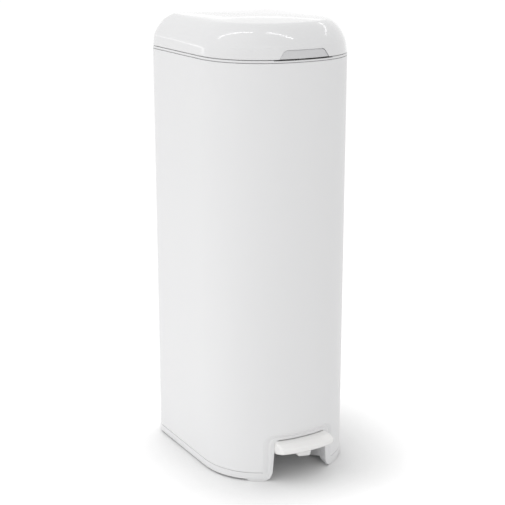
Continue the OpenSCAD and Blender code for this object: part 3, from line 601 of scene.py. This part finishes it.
def screw_tree():
    """Pan-head screws with a cross recess, one on each point, with the seat at the point."""
    tree, inside = new_tree("pan_screws", [
        ("Head radius", "Float", 0.004), ("Head height", "Float", 0.0016),
        ("Shank radius", "Float", 0.002), ("Shank length", "Float", 0.006),
        ("Facing", "Vector", (0, 1, 0))])
    r, h = inside["Head radius"], inside["Head height"]
    drum = geo(tree, "MeshCylinder", [("Vertices", 40), ("Radius", r), ("Depth", h)])
    drum = raised(tree, drum.outputs["Mesh"], maths(tree, "MULTIPLY", h, 0.5))
    dome_r = maths(tree, "MULTIPLY", r, 1.7)
    ball = geo(tree, "MeshUVSphere", [("Segments", 48), ("Rings", 32), ("Radius", dome_r)])
    ball = raised(tree, ball.outputs["Mesh"], maths(tree, "SUBTRACT", h, dome_r))
    head = geo(tree, "MeshBoolean", [("Mesh 2", drum)], operation="INTERSECT")
    tree.links.new(ball, head.inputs["Mesh 2"])
    slot_l, slot_w = maths(tree, "MULTIPLY", r, 1.15), maths(tree, "MULTIPLY", r, 0.26)
    slot_d = maths(tree, "MULTIPLY", h, 1.1)
    bars = geo(tree, "JoinGeometry")
    for a, b in ((slot_l, slot_w), (slot_w, slot_l)):
        size = shade(tree, "CombineXYZ", [("X", a), ("Y", b), ("Z", slot_d)])
        cube = geo(tree, "MeshCube", [("Size", size.outputs[0])])
        tree.links.new(raised(tree, cube.outputs["Mesh"], h), bars.inputs["Geometry"])
    cross = geo(tree, "MeshBoolean", [("Mesh 1", head.outputs["Mesh"])], operation="DIFFERENCE")
    tree.links.new(bars.outputs["Geometry"], cross.inputs["Mesh 2"])
    shank = geo(tree, "MeshCylinder", [
        ("Vertices", 28), ("Radius", inside["Shank radius"]), ("Depth", inside["Shank length"])])
    shank = raised(tree, shank.outputs["Mesh"],
                   maths(tree, "MULTIPLY", inside["Shank length"], -0.5))
    whole = geo(tree, "JoinGeometry", [("Geometry", cross.outputs["Mesh"])])
    tree.links.new(shank, whole.inputs["Geometry"])
    return close_tree(tree, inside, copies(tree, inside, whole.outputs["Geometry"]))


def rib_tree():
    """A rib of one size on each point."""
    tree, inside = new_tree("ribs", [("Size", "Vector", (0.002, 0.02, 0.006))])
    cube = geo(tree, "MeshCube", [("Size", inside["Size"])])
    step = geo(tree, "InstanceOnPoints", [
        ("Points", inside["Geometry"]), ("Instance", cube.outputs["Mesh"])])
    return close_tree(tree, inside, step.outputs["Instances"])


COILS = coil_tree()
SCREWS = screw_tree()
RIBS = rib_tree()


def grown(name, tree, points, slot, sizes):
    """The plain mesh that a tree makes on points; the tree's own sizes are in metres."""
    piece = new_mesh(name, points, [])
    step = piece.modifiers.new("tree", "NODES")
    step.node_group = tree
    values = dict(sizes, Finish=FINISHES[slot])
    for item in tree.interface.items_tree:
        if item.item_type == "SOCKET" and item.in_out == "INPUT" and item.name in values:
            step[item.identifier] = values[item.name]
    apply_modifiers(piece)
    return soften(piece, 34)


def screws(name, points, facing, shank, head_r=4.0, head_h=1.6, shank_r=2.0):
    """Screws whose heads sit on the points and face one way."""
    sizes = {"Head radius": head_r * MM, "Head height": head_h * MM, "Shank radius": shank_r * MM,
             "Shank length": shank * MM, "Facing": facing}
    return dress(grown(name + "_cross", SCREWS, points, "zinc_steel", sizes), name)


def coil(name, points, facing, coil_r, wire_r, turns, length):
    """Springs that start at the points and run one way."""
    sizes = {"Coil radius": coil_r * MM, "Wire radius": wire_r * MM, "Turns": turns,
             "Length": length * MM, "Facing": facing}
    return dress(grown(name + "_wire", COILS, points, "spring_steel", sizes), name)


def ribs(name, points, size):
    """Ribs of one size, centred on the points."""
    sizes = {"Size": tuple(v * MM for v in size)}
    return rounded_edges(grown(name, RIBS, points, "base_white", sizes), 0.4)


# Steel body

NECK_HALF, NECK_TOP, NECK_R = 50, 61.2, 9.5


def steel_wall():
    """The wrapped sheet, with soft edges and a hole for the trim's neck."""
    lip = 0.25
    heights = np.linspace(STEEL_Z0, STEEL_Z1, 46)[1:-1]
    section = [(0, STEEL_Z0 + lip)] + [(0, z) for z in heights] + [(0, STEEL_Z1 - lip)]
    section += [(lip, STEEL_Z1), (STEEL_T - lip, STEEL_Z1), (STEEL_T, STEEL_Z1 - lip)]
    section += [(STEEL_T, z) for z in heights[::-1]]
    section += [(STEEL_T, STEEL_Z0 + lip), (STEEL_T - lip, STEEL_Z0), (lip, STEEL_Z0)]
    piece = new_mesh("steel_wall", *wall_ring(section))
    hole = extruded_front(arch(NECK_HALF, NECK_TOP, NECK_R, 0), FRONT - CLEAR, FRONT + 35)
    return dress(soften(cut(piece, [hole]), 30), "body_shell")


steel_wall()


# Base moulding: band, opening trim, deck and bay

FLARE_W, FLARE_H = 7.6, 13.5
MOUTH_HALF, MOUTH_Z = 39.1, 42  # half the width above this height
TURN_STEPS, RISE_STEPS, TOP_STEPS = 10, 7, 15
TRIM_NECK = 14.0
# From the opening outwards, as (across, depth): lip, groove, ridge, edge on the steel, neck
TRIM_W = TRIM_HALF - BAY_HALF
TRIM_SECTION = [
    (0, TRIM_NECK), (0, -0.8), (5.0, -0.8), (6.5, 0.55), (10.6, -0.5), (TRIM_W, -0.3),
    (TRIM_W, 0.15), (TRIM_W - 3.2, 0.15), (TRIM_W - 3.6, 1.6), (2.2, 1.8), (2.2, TRIM_NECK)]
TRIM_RADII = [0, 1.2, 0.8, 0.7, 0.9, 0.3, 0.1, 0.1, 0.3, 0.3, 0]


def mouth():
    """Half of the pedal opening's edge, from its flared foot up to the middle of the top."""
    a = np.linspace(0, math.pi / 2, TURN_STEPS + 1)
    low, high = FOOT_H + FLARE_H, MOUTH_Z
    line = [(BAY_HALF + FLARE_W * (1 - math.sin(w)), low - FLARE_H * math.cos(w)) for w in a]
    rise = np.linspace(0, 1, RISE_STEPS + 1)[1:]
    line += [(BAY_HALF + (MOUTH_HALF - BAY_HALF) * s, low + (high - low) * s) for s in rise]
    top = BAY_H - BAY_R
    line += [(MOUTH_HALF, high + (top - high) * s) for s in rise]
    line += [(MOUTH_HALF - BAY_R + BAY_R * math.cos(w), top + BAY_R * math.sin(w)) for w in a[1:]]
    top_line = np.linspace(1, 0, TOP_STEPS + 1)[1:]
    return line + [((MOUTH_HALF - BAY_R) * s, BAY_H) for s in top_line]


def base_band():
    """The visible band, and the wall that plugs into the steel."""
    section = rounded([
        (-BAND_PROUD, FOOT_H), (-BAND_PROUD, BAND_TOP), (PLUG_IN, BAND_TOP), (PLUG_IN, DECK_TOP),
        (PLUG_INNER, DECK_TOP), (PLUG_INNER, FOOT_H)], (0.9, 0.7, 0.1, 0.3, 0.3, 0.3), 4)
    piece = new_mesh("band", *wall_ring(dense(section, 6)))
    opening = arch(BAY_HALF + 4, BAY_H + 3, BAY_R + 3, -1)
    return cut(piece, [extruded_front(opening, FRONT - 2 * CLEAR, FRONT + 30)])


def opening_trim():
    """The proud frame round the pedal opening, with its neck through the steel."""
    inner = mouth()
    turns = np.linspace(0, math.pi / 2, 11)[1:]
    edge = [(TRIM_HALF, FOOT_H), (TRIM_HALF, TRIM_Z - TRIM_R)]
    edge += [(TRIM_HALF - TRIM_R + TRIM_R * math.cos(w), TRIM_Z - TRIM_R + TRIM_R * math.sin(w))
             for w in turns]
    edge = np.array(edge + [(0, TRIM_Z)])
    run = np.r_[0, np.cumsum(np.hypot(*np.diff(edge, axis=0).T))]
    marks = np.array(inner)
    share = np.r_[0, np.cumsum(np.hypot(*np.diff(marks, axis=0).T))]
    # Points of the opening's edge that face given points of the outer edge
    knots = [0, FOOT_H + 20, run[-2], run[-1]]
    own = [0, share[TURN_STEPS + RISE_STEPS], share[-TOP_STEPS - 1], share[-1]]
    reach = np.interp(share, own, knots)
    outer = [(np.interp(r, run, edge[:, 0]), np.interp(r, run, edge[:, 1])) for r in reach]
    inner = np.array(inner + [(-x, z) for x, z in inner[-2::-1]])
    outer = np.array(outer + [(-x, z) for x, z in outer[-2::-1]])
    section = rounded(TRIM_SECTION, TRIM_RADII, 5)
    lines = []
    for i, o in zip(inner, outer):
        ring = []
        for across, depth in section:
            x, z = i + (o - i) * across / TRIM_W
            shallow = min(depth, PLUG_INNER)
            ring.append((x, float(front_face(x, shallow)) + depth - shallow, z))
        lines.append(np.array(ring))
    return new_mesh("trim", *solid(lines), sharp=40)


AXLE_BORE_R, BOSS_R = 3.06, 7
RIB_T, RIB_H, RIB_Z = 1.6, 6.2, DECK_Z0 - 3


def bay_wall():
    """Side view of a wall of the bay: its lower edge steps up towards the front."""
    y0, y1 = FRONT + 8, AXLE_Y + 20
    low, high = 1.5, 10.4
    return rounded([
        (y0, DECK_Z0), (y1, DECK_Z0), (y1, low), (y0 + 40, low), (y0 + 14, high), (y0, high)],
        (0.3, 0.3, 3, 10, 10, 0.5), 8)


def base_moulding():
    """Band, trim, ribbed deck and the bay's walls with the bosses of the axle."""
    line = plan_line(PLUG_IN + 0.2)
    deck = new_mesh("deck", *upright(line, DECK_Z0, DECK_TOP, 0.3))
    hole = upright(circle(0, ROD_Y, 3.5, 32), DECK_Z0 - 5, DECK_TOP + 5)
    cut(deck, [hole])
    bore = bar(circle(AXLE_Y, AXLE_Z, AXLE_BORE_R), -60, 60, 0.02, 1)
    walls = []
    for s in (1, -1):
        ends = sorted((s * (BAY_HALF + 0.25), s * (BAY_HALF + 2.2)))
        walls.append(cut(new_mesh("bay_wall", *bar(bay_wall(), *ends)), [bore]))
        ends = sorted((s * (BAY_HALF + 0.1), s * (BAY_HALF + 5)))
        boss = new_mesh("boss", *bar(circle(AXLE_Y, AXLE_Z, BOSS_R), *ends, 0.5))
        walls.append(cut(boss, [bore]))
    rows = [(x, 10, RIB_Z) for x in (-84, -66, 66, 84)]
    long_ribs = ribs("long_ribs", rows, (RIB_T, 150, RIB_H))
    rows = [(s * 71, y, RIB_Z) for s in (1, -1) for y in (-40, -5, 30, 65)]
    cross_ribs = ribs("cross_ribs", rows, (48, RIB_T, RIB_H))
    parts = [base_band(), opening_trim(), deck, long_ribs, cross_ribs] + walls
    return unite("base_moulding", parts, 38)


dress(base_moulding(), "base_tray")


PAD_DEPTH, PAD_SOFT = 12, 1.2
PAD_END, PAD_LIFT = 3.5, 2.2  # how far from its ends a pad curves up, and how high


def foot_pads():
    """Four pads that follow the body's outline, with soft lower edges."""
    parts = []
    half = FOOT_W / 2
    for s in (1, -1):
        for rear in (False, True):
            lines = []
            for x in FOOT_X + np.linspace(-half, half, 13):
                lift = PAD_LIFT * max(1 - (half - abs(x - FOOT_X)) / PAD_END, 0) ** 2
                face = BACK + BAND_PROUD if rear else float(front_face(x, -BAND_PROUD))
                lo, hi = sorted((face, face + (-PAD_DEPTH if rear else PAD_DEPTH)))
                soft = min(PAD_SOFT, FOOT_H - lift)
                ring = rounded([(lo, FOOT_H), (lo, lift), (hi, lift), (hi, FOOT_H)],
                               [0.05, soft, soft, 0.05], 4)
                lines.append(np.c_[np.full(len(ring), s * x), ring])
            parts.append(solid(lines))
    return dress(new_mesh("soft_pads", *join(parts), sharp=40), "foot_pads")


foot_pads()


# Collar rim

SKIRT_IN = 4.6
LEDGE_IN, LEDGE_Z0, LEDGE_Z1 = 9.6, 539, 541
CATCH_TOP = 545.5
KNUCKLE_X0, KNUCKLE_X1, KNUCKLE_R = 29, 39, 4.5


def collar():
    """The rim with its skirt and ledge, cut out for rod, tab and catch, and its hinge arms."""
    section = rounded([
        (0.0, RIM_Z0), (0.0, RIM_Z1), (RIM_IN, RIM_Z1), (RIM_IN, LEDGE_Z1), (LEDGE_IN, LEDGE_Z1),
        (LEDGE_IN, LEDGE_Z0), (SKIRT_IN, LEDGE_Z0), (SKIRT_IN, RIM_Z0)],
        (0.5, 0.8, 0.8, 0.3, 0.4, 0.4, 0.4, 0.3), 4)
    piece = new_mesh("collar", *wall_ring(section))
    gap_half, gap_h, low = 42, 0.8, LEDGE_Z0 - 9
    cut(piece, [
        block((-15, ROD_Y - 10, 500), (15, FAR, 600)),
        block((-gap_half, FRONT - CLEAR, RIM_Z1 - gap_h), (gap_half, SIDE_Y, 560)),
        block((-9, FRONT - CLEAR, low), (9, SIDE_Y, CATCH_TOP)),
        block((-11, FRONT + RIM_IN, low), (11, SIDE_Y, CATCH_TOP))])
    parts = []
    arm = [(BACK - RIM_IN, RIM_Z0), (HINGE_Y, RIM_Z0), (HINGE_Y, RIM_Z1), (BACK - RIM_IN, RIM_Z1)]
    for s in (1, -1):
        ends = sorted((s * KNUCKLE_X0, s * KNUCKLE_X1))
        parts += [bar(circle(HINGE_Y, HINGE_Z, KNUCKLE_R), *ends), bar(arm, *ends, 0.3)]
    return unite("rim_collar", [piece, new_mesh("knuckles", *join(parts))], 34)


dress(collar(), "collar_ring")


# Lid

LEAN = 1.9
TOP_IN, TOP_Z = 24.4, 41.4  # where the shoulder ends and the flat dome of the top begins
INNER_TOP_IN, INNER_TOP_Z = 26, 38.6
INNER_CREASE = 11.0
FRONT_CREASE = 13.9
# Height of the skirt's crease above the lid's lower edge, by y
CREASE_AT = ((-122, FRONT_CREASE), (-114, FRONT_CREASE), (-94, 13.5), (-76, 12.1), (-50, 9.4),
             (-35, 10), (30, 12.2), (89, 13.1), (122, 13.3))


def lid_lean():
    """How far the skirt leans in at each point of the outline: not at all along the back."""
    fade = 0.5 + 0.5 * np.cos(np.linspace(0, math.pi, CORNER_STEPS, endpoint=False))
    return LEAN * np.concatenate([np.ones(FRONT_STEPS + SIDE_STEPS), fade, np.zeros(BACK_STEPS),
                                  1 - fade, np.ones(SIDE_STEPS)])


def lid_crease():
    """Height of the skirt's crease at each point: lowest where the front meets the sides."""
    knots, heights = zip(*CREASE_AT)
    fine = np.linspace(FRONT, BACK, 123)
    wave = np.interp(fine, knots, heights)
    wave = np.convolve(np.pad(wave, 4, mode="edge"), np.full(9, 1 / 9), mode="valid")
    return np.interp(plan_line()[:, 1], fine, wave)


def lid_ring(inset, z):
    """A ring of the lid, with one inset and height or with one for each point."""
    line = plan_line(inset)
    return np.c_[line, np.broadcast_to(LID_Z0 + z, len(line))]


def shoulder(start, first, second, last, steps):
    """Rings along a smooth curve of (inset, height) from the crease to the top."""
    rings = []
    for t in steps:
        p = ((1 - t) ** 3 * start + 3 * t * (1 - t) ** 2 * first + 3 * t * t * (1 - t) * second
             + t ** 3 * last)
        rings.append(lid_ring(p[:, 0], p[:, 1]))
    return rings


def dome(inset, z, rise, shares):
    """Rings from an inset outline towards the middle of the top, which rises gently."""
    edge = plan_line(inset)
    centre = np.array([0, (edge[:, 1].min() + edge[:, 1].max()) / 2])
    rings = []
    for s in shares:
        line = centre + (edge - centre) * s
        rings.append(np.c_[line, np.full(len(line), LID_Z0 + (z + rise * (1 - s * s)))])
    return rings


def lid_rings():
    """The outer face from the lower edge to the middle of the top."""
    lean, crease = lid_lean(), lid_crease()
    rings = [lid_ring(np.full(len(lean), 2.0), 0.0), lid_ring(0.7, 0.0), lid_ring(0.2, 0.2)]
    soft = 0.5
    for share in (0.07, 0.25, 0.45, 0.65, 0.85):
        rings.append(lid_ring(lean * share, crease * share))
    for step in (-soft, -soft / 3):
        rings.append(lid_ring(lean * (crease + step) / crease, crease + step))
    start = np.stack([lean, crease], 1)
    first = np.stack([lean + 3.0, crease + (24.5 - crease) * 0.9], 1)
    second, last = np.array([12.2, 36.8]), np.array([TOP_IN, TOP_Z])
    rings += shoulder(start, first, second, last, np.r_[0.02, 0.06, np.linspace(0.1, 0.93, 22)])
    return rings + dome(TOP_IN, TOP_Z, LID_H - TOP_Z, (1.0, 0.985, 0.965, 0.94, 0.9, 0.84, 0.76,
                                                       0.64, 0.5, 0.35, 0.2, 0.08))


def lid_inside():
    """The inner face, a wall's thickness in."""
    lean = lid_lean() * 0.9
    rings = [lid_ring(LID_WALL + lean * z / INNER_CREASE, z) for z in (0.0, 3, 6, 9)]
    start = np.stack([LID_WALL + lean, np.full(len(lean), INNER_CREASE)], 1)
    first, second = np.array([7.6, 22.5]), np.array([14, 33.8])
    last = np.array([INNER_TOP_IN, INNER_TOP_Z])
    rings += shoulder(start, first, second, last, np.linspace(0, 1, 12))
    return rings + dome(INNER_TOP_IN, INNER_TOP_Z, 4, (0.85, 0.6, 0.3))


TAB_W, TAB_TOP_W, TAB_H, TAB_R = 71, 57, 10.5, 8
TAB_Z0 = LID_Z0 + 0.3
TAB_BACK, TAB_FACE = 3.3, 0.8  # depths of the tab's back and face behind the lid's front
TAB_EDGE = ((0.4, TAB_BACK), (0.0, 3.1), (0.0, 1.5), (0.15, 1.1), (0.5, 0.86), (1.0, TAB_FACE))
STEM_HALF, STEM_Z0, STEM_Z1 = 24, 557.6, 562.6
FINGER_HALF, FINGER_T, FINGER_Z0 = 5, 3.2, 550.3
ARM_W, ARM_X = 10, (18, -28)
GAP = 0.3


def tab_outline(grow=0.0, drop=0.0, steps=8):
    """Front view of the tab, grown on all sides and carried on below."""
    slope = (TAB_W - TAB_TOP_W) / 2 / TAB_H
    b = TAB_W / 2 + grow + slope * drop
    t = TAB_TOP_W / 2 + grow - slope * grow
    top = TAB_Z0 + TAB_H + grow
    return rounded([[-b, TAB_Z0 - drop], [b, TAB_Z0 - drop], [t, top], [-t, top]],
                   [0, 0, TAB_R + grow, TAB_R + grow], steps)


def lid_shell():
    """The lid's outer and inner face, with the tab's pocket and slots for the hinge arms."""
    outer, inner = lid_rings(), lid_inside()
    v1, f1 = skin(outer, cap_end=True)
    v1[-1, 2] = LID_Z0 + LID_H
    v2, f2 = skin(inner, cap_end=True)
    n = len(outer[0])
    verts, faces = join([(v1, f1), (v2, f2)])
    base = len(v1)
    faces += [(k, base + k, base + (k + 1) % n, (k + 1) % n) for k in range(n)]
    piece = new_mesh("lid", verts, faces)
    pocket = extruded_front(tab_outline(GAP, 1), FRONT - CLEAR, FRONT + 40)
    arms = [block((x - GAP, BACK - 4.5, 550), (x + ARM_W + GAP, FAR, 559)) for x in ARM_X]
    cut(piece, [pocket] + arms)
    return soften(piece, 25)


def tab():
    """The grey tab: a curved plate with soft edges, its stem and its finger."""
    outline = even(tab_outline(steps=10), 170)
    centre = outline.mean(0)
    shares = (0.85, 0.65, 0.45, 0.25, 0.1)
    rings = [(centre + (shrunk(outline, TAB_EDGE[0][0]) - centre) * s, TAB_BACK)
             for s in shares[::-1]]
    rings += [(shrunk(outline, inwards), depth) for inwards, depth in TAB_EDGE]
    rings += [(centre + (shrunk(outline, TAB_EDGE[-1][0]) - centre) * s, TAB_FACE)
              for s in shares]
    placed = []
    for flat, depth in rings:
        x, z = flat.T
        # The face leans in with the lid, the back stays upright
        lean = LEAN * np.clip(z - LID_Z0, 0, None) / FRONT_CREASE * (depth < 2)
        placed.append(np.stack([x, front_face(x, depth + lean), z], 1))
    plate = new_mesh("plate", *solid(placed))
    y0, y1, y2 = FRONT + 3.8, FRONT + 9.5, FRONT + 13.6
    stem = bar(rounded([(y0, STEM_Z0), (y1, STEM_Z0), (y1, STEM_Z1), (y0, STEM_Z1)],
                       [0, 0.5, 0.5, 0], 3), -STEM_HALF, STEM_HALF)
    finger = bar(rounded([
        (y1 - 1, STEM_Z0), (y2 - FINGER_T, STEM_Z0), (y2 - FINGER_T, FINGER_Z0), (y2, FINGER_Z0),
        (y2, STEM_Z1), (y1 - 1, STEM_Z1)], [0, 0.4, 0.6, 0.6, 0.8, 0], 3),
        -FINGER_HALF, FINGER_HALF)
    return unite("lock_tab", [plate, new_mesh("stem", *join([stem, finger]))], 34)


dress(lid_shell(), "lid_shell")
dress(tab(), "lock_button")


# Pedal

PEDAL_HALF = 38.6
PEDAL_WIDER = 0.055  # share by which it widens once it is clear of the mouth
PEDAL_OUT = 22
END_TOP_R, END_LOW_R, END_PLAN_R = 2.6, 0.8, 4
HUB_X0, HUB_X1 = -8.5, 12
HUB_SLOPE = 0.12


def rounding(x, half, r):
    """How far a rounded corner of radius r has come in at x."""
    over = np.clip(abs(x) - (half - r), 0, r)
    return r - math.sqrt(max(r * r - over * over, 0))


def pedal_section(x):
    """Side view of the pedal at x, as (out, z)."""
    top, low = rounding(x, PEDAL_HALF, END_TOP_R), rounding(x, PEDAL_HALF, END_LOW_R)
    reach = PEDAL_OUT - rounding(x, PEDAL_HALF, END_PLAN_R)
    return rounded([
        (-30, 40 + low), (-30, 52 - top), (0, 56 - top), (reach * 0.5, 55.3 - top),
        (reach, 51.8 - top * 0.6), (reach, 45 - 3 * (1 - reach / PEDAL_OUT) + low),
        (reach * 0.42, 41 + low), (0, 38.5 + low), (-10, 38.5 + low)],
        [1.5, 3, 10, 10, 3, 3, 8, 8, 4], 6)


def pedal():
    """The curved pad, with sections close together at its ends, and the hub under it."""
    turns = np.linspace(0, math.pi / 2, 18)
    end_w = 9
    ends = PEDAL_HALF - end_w * (1 - np.sin(turns))
    middle = PEDAL_HALF - end_w
    xs = np.r_[-ends[::-1], np.linspace(-middle, middle, 41)[1:-1], ends]
    lines = []
    for x in xs:
        ring = []
        for out, z in pedal_section(x):
            wide = x * (1 + PEDAL_WIDER * np.clip((out - 1.5) / 7, 0, 1))
            ring.append((wide, float(front_face(wide)) - out, z))
        lines.append(np.array(ring))
    pad = new_mesh("pedal", *solid(lines))
    hub = rounded([(FRONT + 4.5, 46), (FRONT + 4.5, 30.4), (FRONT - 4, 30.6), (FRONT - 9, 46)],
                  [0.5, 2, 3, 0.5], 5)
    verts, faces = bar(hub, HUB_X0, HUB_X1, 3.5, 5)
    verts[:, 2] -= np.where(verts[:, 2] < 44, (verts[:, 0] - HUB_X0) * HUB_SLOPE, 0)
    return unite("foot_pedal", [pad, new_mesh("hub", verts, faces)], 40)


dress(pedal(), "pedal_pad")


# Inner and rear pieces: their solids with whole faces and rounded edges

EDGE_WIDTHS = {
    "top_frame": 0.4, "hinge_bracket": 0.3, "hinge_pin": 0.25, "rod_cover": 0.4,
    "rod_guides": 0.4, "axle_clips": 0.15, "axle_spacers": 0.3, "pedal_lever": 0.3,
    "rod_foot": 0.4, "rod_head": 0.4, "rod_clip": 0.2, "cassette_holder": 0.4,
    "liner_cassette": 0.6, "flap_plate": 0.4, "flap_left": 0.5, "flap_right": 0.5,
    "flap_pins": 0.2, "film_cutter": 0.4, "cutter_blade": 0.0, "lock_catch": 0.3,
    "lid_panel": 0.4, "lid_bracket": 0.4, "pedal_axle": 0.3, "push_rod": 0.3}
for name, width in EDGE_WIDTHS.items():
    finish = drawn_steel if name in ("push_rod", "pedal_axle") else None
    dress(refined(name, width), name, finish)


def lid_seal():
    """A soft lip that follows the outline under the lid."""
    outer, inner, z0, z1 = 21, 24, 549, 555.2
    section = rounded([(outer, z0), (inner, z0), (inner, z1), (outer, z1)],
                      (1.4, 1.4, 0.2, 0.2), 5)
    return dress(new_mesh("seal_lip", *wall_ring(section, 8)), "lid_seal")


lid_seal()


# Screws and springs

BACKWARDS, FORWARDS, DOWN, UP = (0, 1, 0), (0, -1, 0), (0, 0, -1), (0, 0, 1)
screws("base_screws", [(s * 60, BACK + 0.1, 34) for s in (1, -1)], BACKWARDS, 8)
screws("bracket_screws", [(s * 36.5, BACK + 1.7, z) for s in (1, -1)
                          for z in (STEEL_Z1 - 29, STEEL_Z1 - 10)], BACKWARDS, 6)
screws("pad_screws", [(0, y, 35.9) for y in (FRONT + 9, FRONT + 20)], DOWN, 11)
screws("lid_screws", [(s * 35, 117.1, 563.1) for s in (1, -1)], FORWARDS, 0.3, 1.9, 1.4, 1.0)

ROD_SPRING_Z0, ROD_SPRING_Z1 = 86.3, 150.087
rod_spring = coil("rod_spring", [(0, ROD_Y, ROD_SPRING_Z0 + 0.6)], UP, 4.7, 0.6, 9,
                  ROD_SPRING_Z1 - ROD_SPRING_Z0 - 1.5)
coil("flap_springs", [(s * 57, -70, 543.05) for s in (1, -1)], BACKWARDS, 2.0, 0.3, 6, 11.4)
coil("catch_spring", [(0, -100.95, 543.5)], BACKWARDS, 1.8, 0.25, 5, 6.4)
coil("lock_springs", [(s * 16, -109.45, 560.1) for s in (1, -1)], BACKWARDS, 1.8, 0.25, 5, 5.9)
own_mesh(rod_spring)


# Every solid that stays gets its own finish

for name, item in frame["nodes"].items():
    item.data.materials.clear()
    item.data.materials.append(FINISHES[SLOTS[name]])


# Studio

def seen_directly(tree):
    """1 for the camera, for reflections and for what is seen through a piece."""
    path = shade(tree, "LightPath").outputs
    seen = maths(tree, "MAXIMUM", path["Is Camera Ray"], path["Is Transmission Ray"])
    return maths(tree, "MAXIMUM", seen, path["Is Glossy Ray"])


WORLD_LEVEL = 0.728
FLOOR_COLOR, FLOOR_SEEN = 0.9, 0.72
FLOOR_GLOW = 0.49
SHADE_REACH, SHADE_POWER = 0.12, 2.0
SHADE_LEAN = (0.0, 0.7, 0.714)


def white_floor():
    """Matt white; where it is seen it also glows, but not where the object stands close.

    What is close counts most behind a point: a painted shadow, as under a soft light from the
    back.
    """
    m = bpy.data.materials.new("white_floor")
    m.use_nodes = True
    tree = m.node_tree
    tree.nodes.clear()
    seen = seen_directly(tree)
    tint = shade(tree, "MapRange", [("Value", seen), ("To Min", FLOOR_COLOR),
                                    ("To Max", FLOOR_SEEN)])
    matt = shade(tree, "BsdfDiffuse", [("Color", tint.outputs["Result"])])
    slant = shade(tree, "CombineXYZ", zip("XYZ", SHADE_LEAN))
    # Painted shadow: the glow is dimmed by the occlusion of what stands near, counted most
    # towards the back
    near = shade(tree, "AmbientOcclusion", [
        ("Distance", SHADE_REACH), ("Normal", slant.outputs[0])], samples=12)
    open_air = maths(tree, "POWER", near.outputs["AO"], SHADE_POWER)
    level = maths(tree, "MULTIPLY", maths(tree, "MULTIPLY", open_air, FLOOR_GLOW), seen)
    glow = shade(tree, "Emission", [("Strength", level)])
    total = shade(tree, "AddShader", [(0, matt.outputs[0]), (1, glow.outputs[0])])
    shade(tree, "OutputMaterial", [("Surface", total.outputs[0])])
    return m


def area_light(name, place, turn, size, power, mirrored):
    """A soft lamp of a width and height; gloss shows it only where mirrored is set."""
    data = bpy.data.lights.new(name, "AREA")
    data.shape = "RECTANGLE"
    data.size, data.size_y = size
    data.energy = power
    item = add_object(name, data)
    item.location = place
    item.rotation_euler = turn
    item.visible_glossy = mirrored


def lamp(name, place, aim, wide, high, power, mirrored=False):
    turn = (Vector(aim) - Vector(place)).to_track_quat("-Z", "Y").to_euler()
    area_light(name, place, turn, (wide, high), power, mirrored)


def strip(name, start, end, aim, width, power):
    """A long narrow lamp between two points that faces a third, for a line in the gloss."""
    start, end, aim = Vector(start), Vector(end), Vector(aim)
    along = (end - start).normalized()
    back = (start + end) / 2 - aim
    back = (back - back.dot(along) * along).normalized()
    turn = Matrix((along, back.cross(along), back)).transposed().to_euler()
    area_light(name, (start + end) / 2, turn, ((end - start).length, width), power, True)


FLOOR_HALF = 40000
LID_TOP = (0, 0, 0.6)
LAMPS = (
    ("key_lamp", (-2.0, -1.0, 2.2), (0, 0, 0.35), 1.2, 1.2, 2.05),
    ("soft_front_lamp", (-0.9, -2.8, 1.7), (0, 0, 0.4), 2.4, 1.8, 3.1, True),
    ("low_left_lamp", (-2.0, -0.7, 0.2), (0, 0, 0.1), 1.2, 0.3, 2.34),
    ("low_front_lamp", (-1.3, -1.9, 0.2), (0, 0, 0.1), 1.0, 0.3, 1.3),
    ("floor_lamp", (-0.9, -1.5, 0.05), (0, 0, 0.03), 0.7, 0.08, 0.25),
    ("near_left_lamp", (-0.55, 0.05, 0.08), (0, 0, 0.06), 0.4, 0.15, 0.12),
    ("back_lamp", (-1.6, 1.4, 2.2), (0, 0, 0.2), 1.0, 1.0, 4.5),
    ("side_back_lamp", (-1.6, 0.8, 1.6), (0, 0, 0.1), 0.5, 0.5, 1.2))
STRIPS = (
    ("top_strip", (-0.056, -0.4858, 2.0), (0.8148, -1.3888, 2.0), LID_TOP, 0.098, 2.0),
    ("left_strip", (-0.392, -0.252, 2.0), (-2.072, 1.442, 2.0), LID_TOP, 0.098, 3.2),
    ("right_strip", (1.5, 1.0, 1.9), (1.5, -0.43, 1.5), (0, 0, 0.58), 0.06, 0.8),
    ("back_strip", (0.3, 3.2, 1.1), (2.7, 2.0, 1.1), LID_TOP, 0.03, 0.14),
    ("crease_strip", (-1.3, 1.5, 0.76), (-0.7, 1.9, 0.76), (0, 0, 0.56), 0.1, 0.3))


def studio():
    """White floor and surroundings, and every lamp."""
    corners = [(-1, -1), (1, -1), (1, 1), (-1, 1)]
    floor = new_mesh("floor", [(FLOOR_HALF * x, FLOOR_HALF * y, 0) for x, y in corners],
                     [(0, 1, 2, 3)], white_floor())
    world = bpy.data.worlds.new("studio")
    scene.world = world
    world.use_nodes = True
    tree = world.node_tree
    level = shade(tree, "MapRange", [("Value", seen_directly(tree)), ("To Min", WORLD_LEVEL),
                                     ("To Max", 1.0)])
    fill(tree, tree.nodes["Background"], [("Color", (1, 1, 1, 1)),
                                          ("Strength", level.outputs["Result"])])
    for values in LAMPS:
        lamp(*values)
    for values in STRIPS:
        strip(*values)


studio()


# Camera

CAMERA_PLACE = (-0.81466, -1.41457, 0.74204)
CAMERA_TURN = (math.radians(74.2324), 0, math.radians(-29.6556))
SENSOR_W, LENS = 36, 89.36

eye = bpy.data.cameras.new("camera")
eye.sensor_width = SENSOR_W
eye.lens = LENS
camera = add_object("camera", eye)
camera.location = CAMERA_PLACE
camera.rotation_euler = CAMERA_TURN
scene.camera = camera
scene.view_settings.view_transform = "Standard"
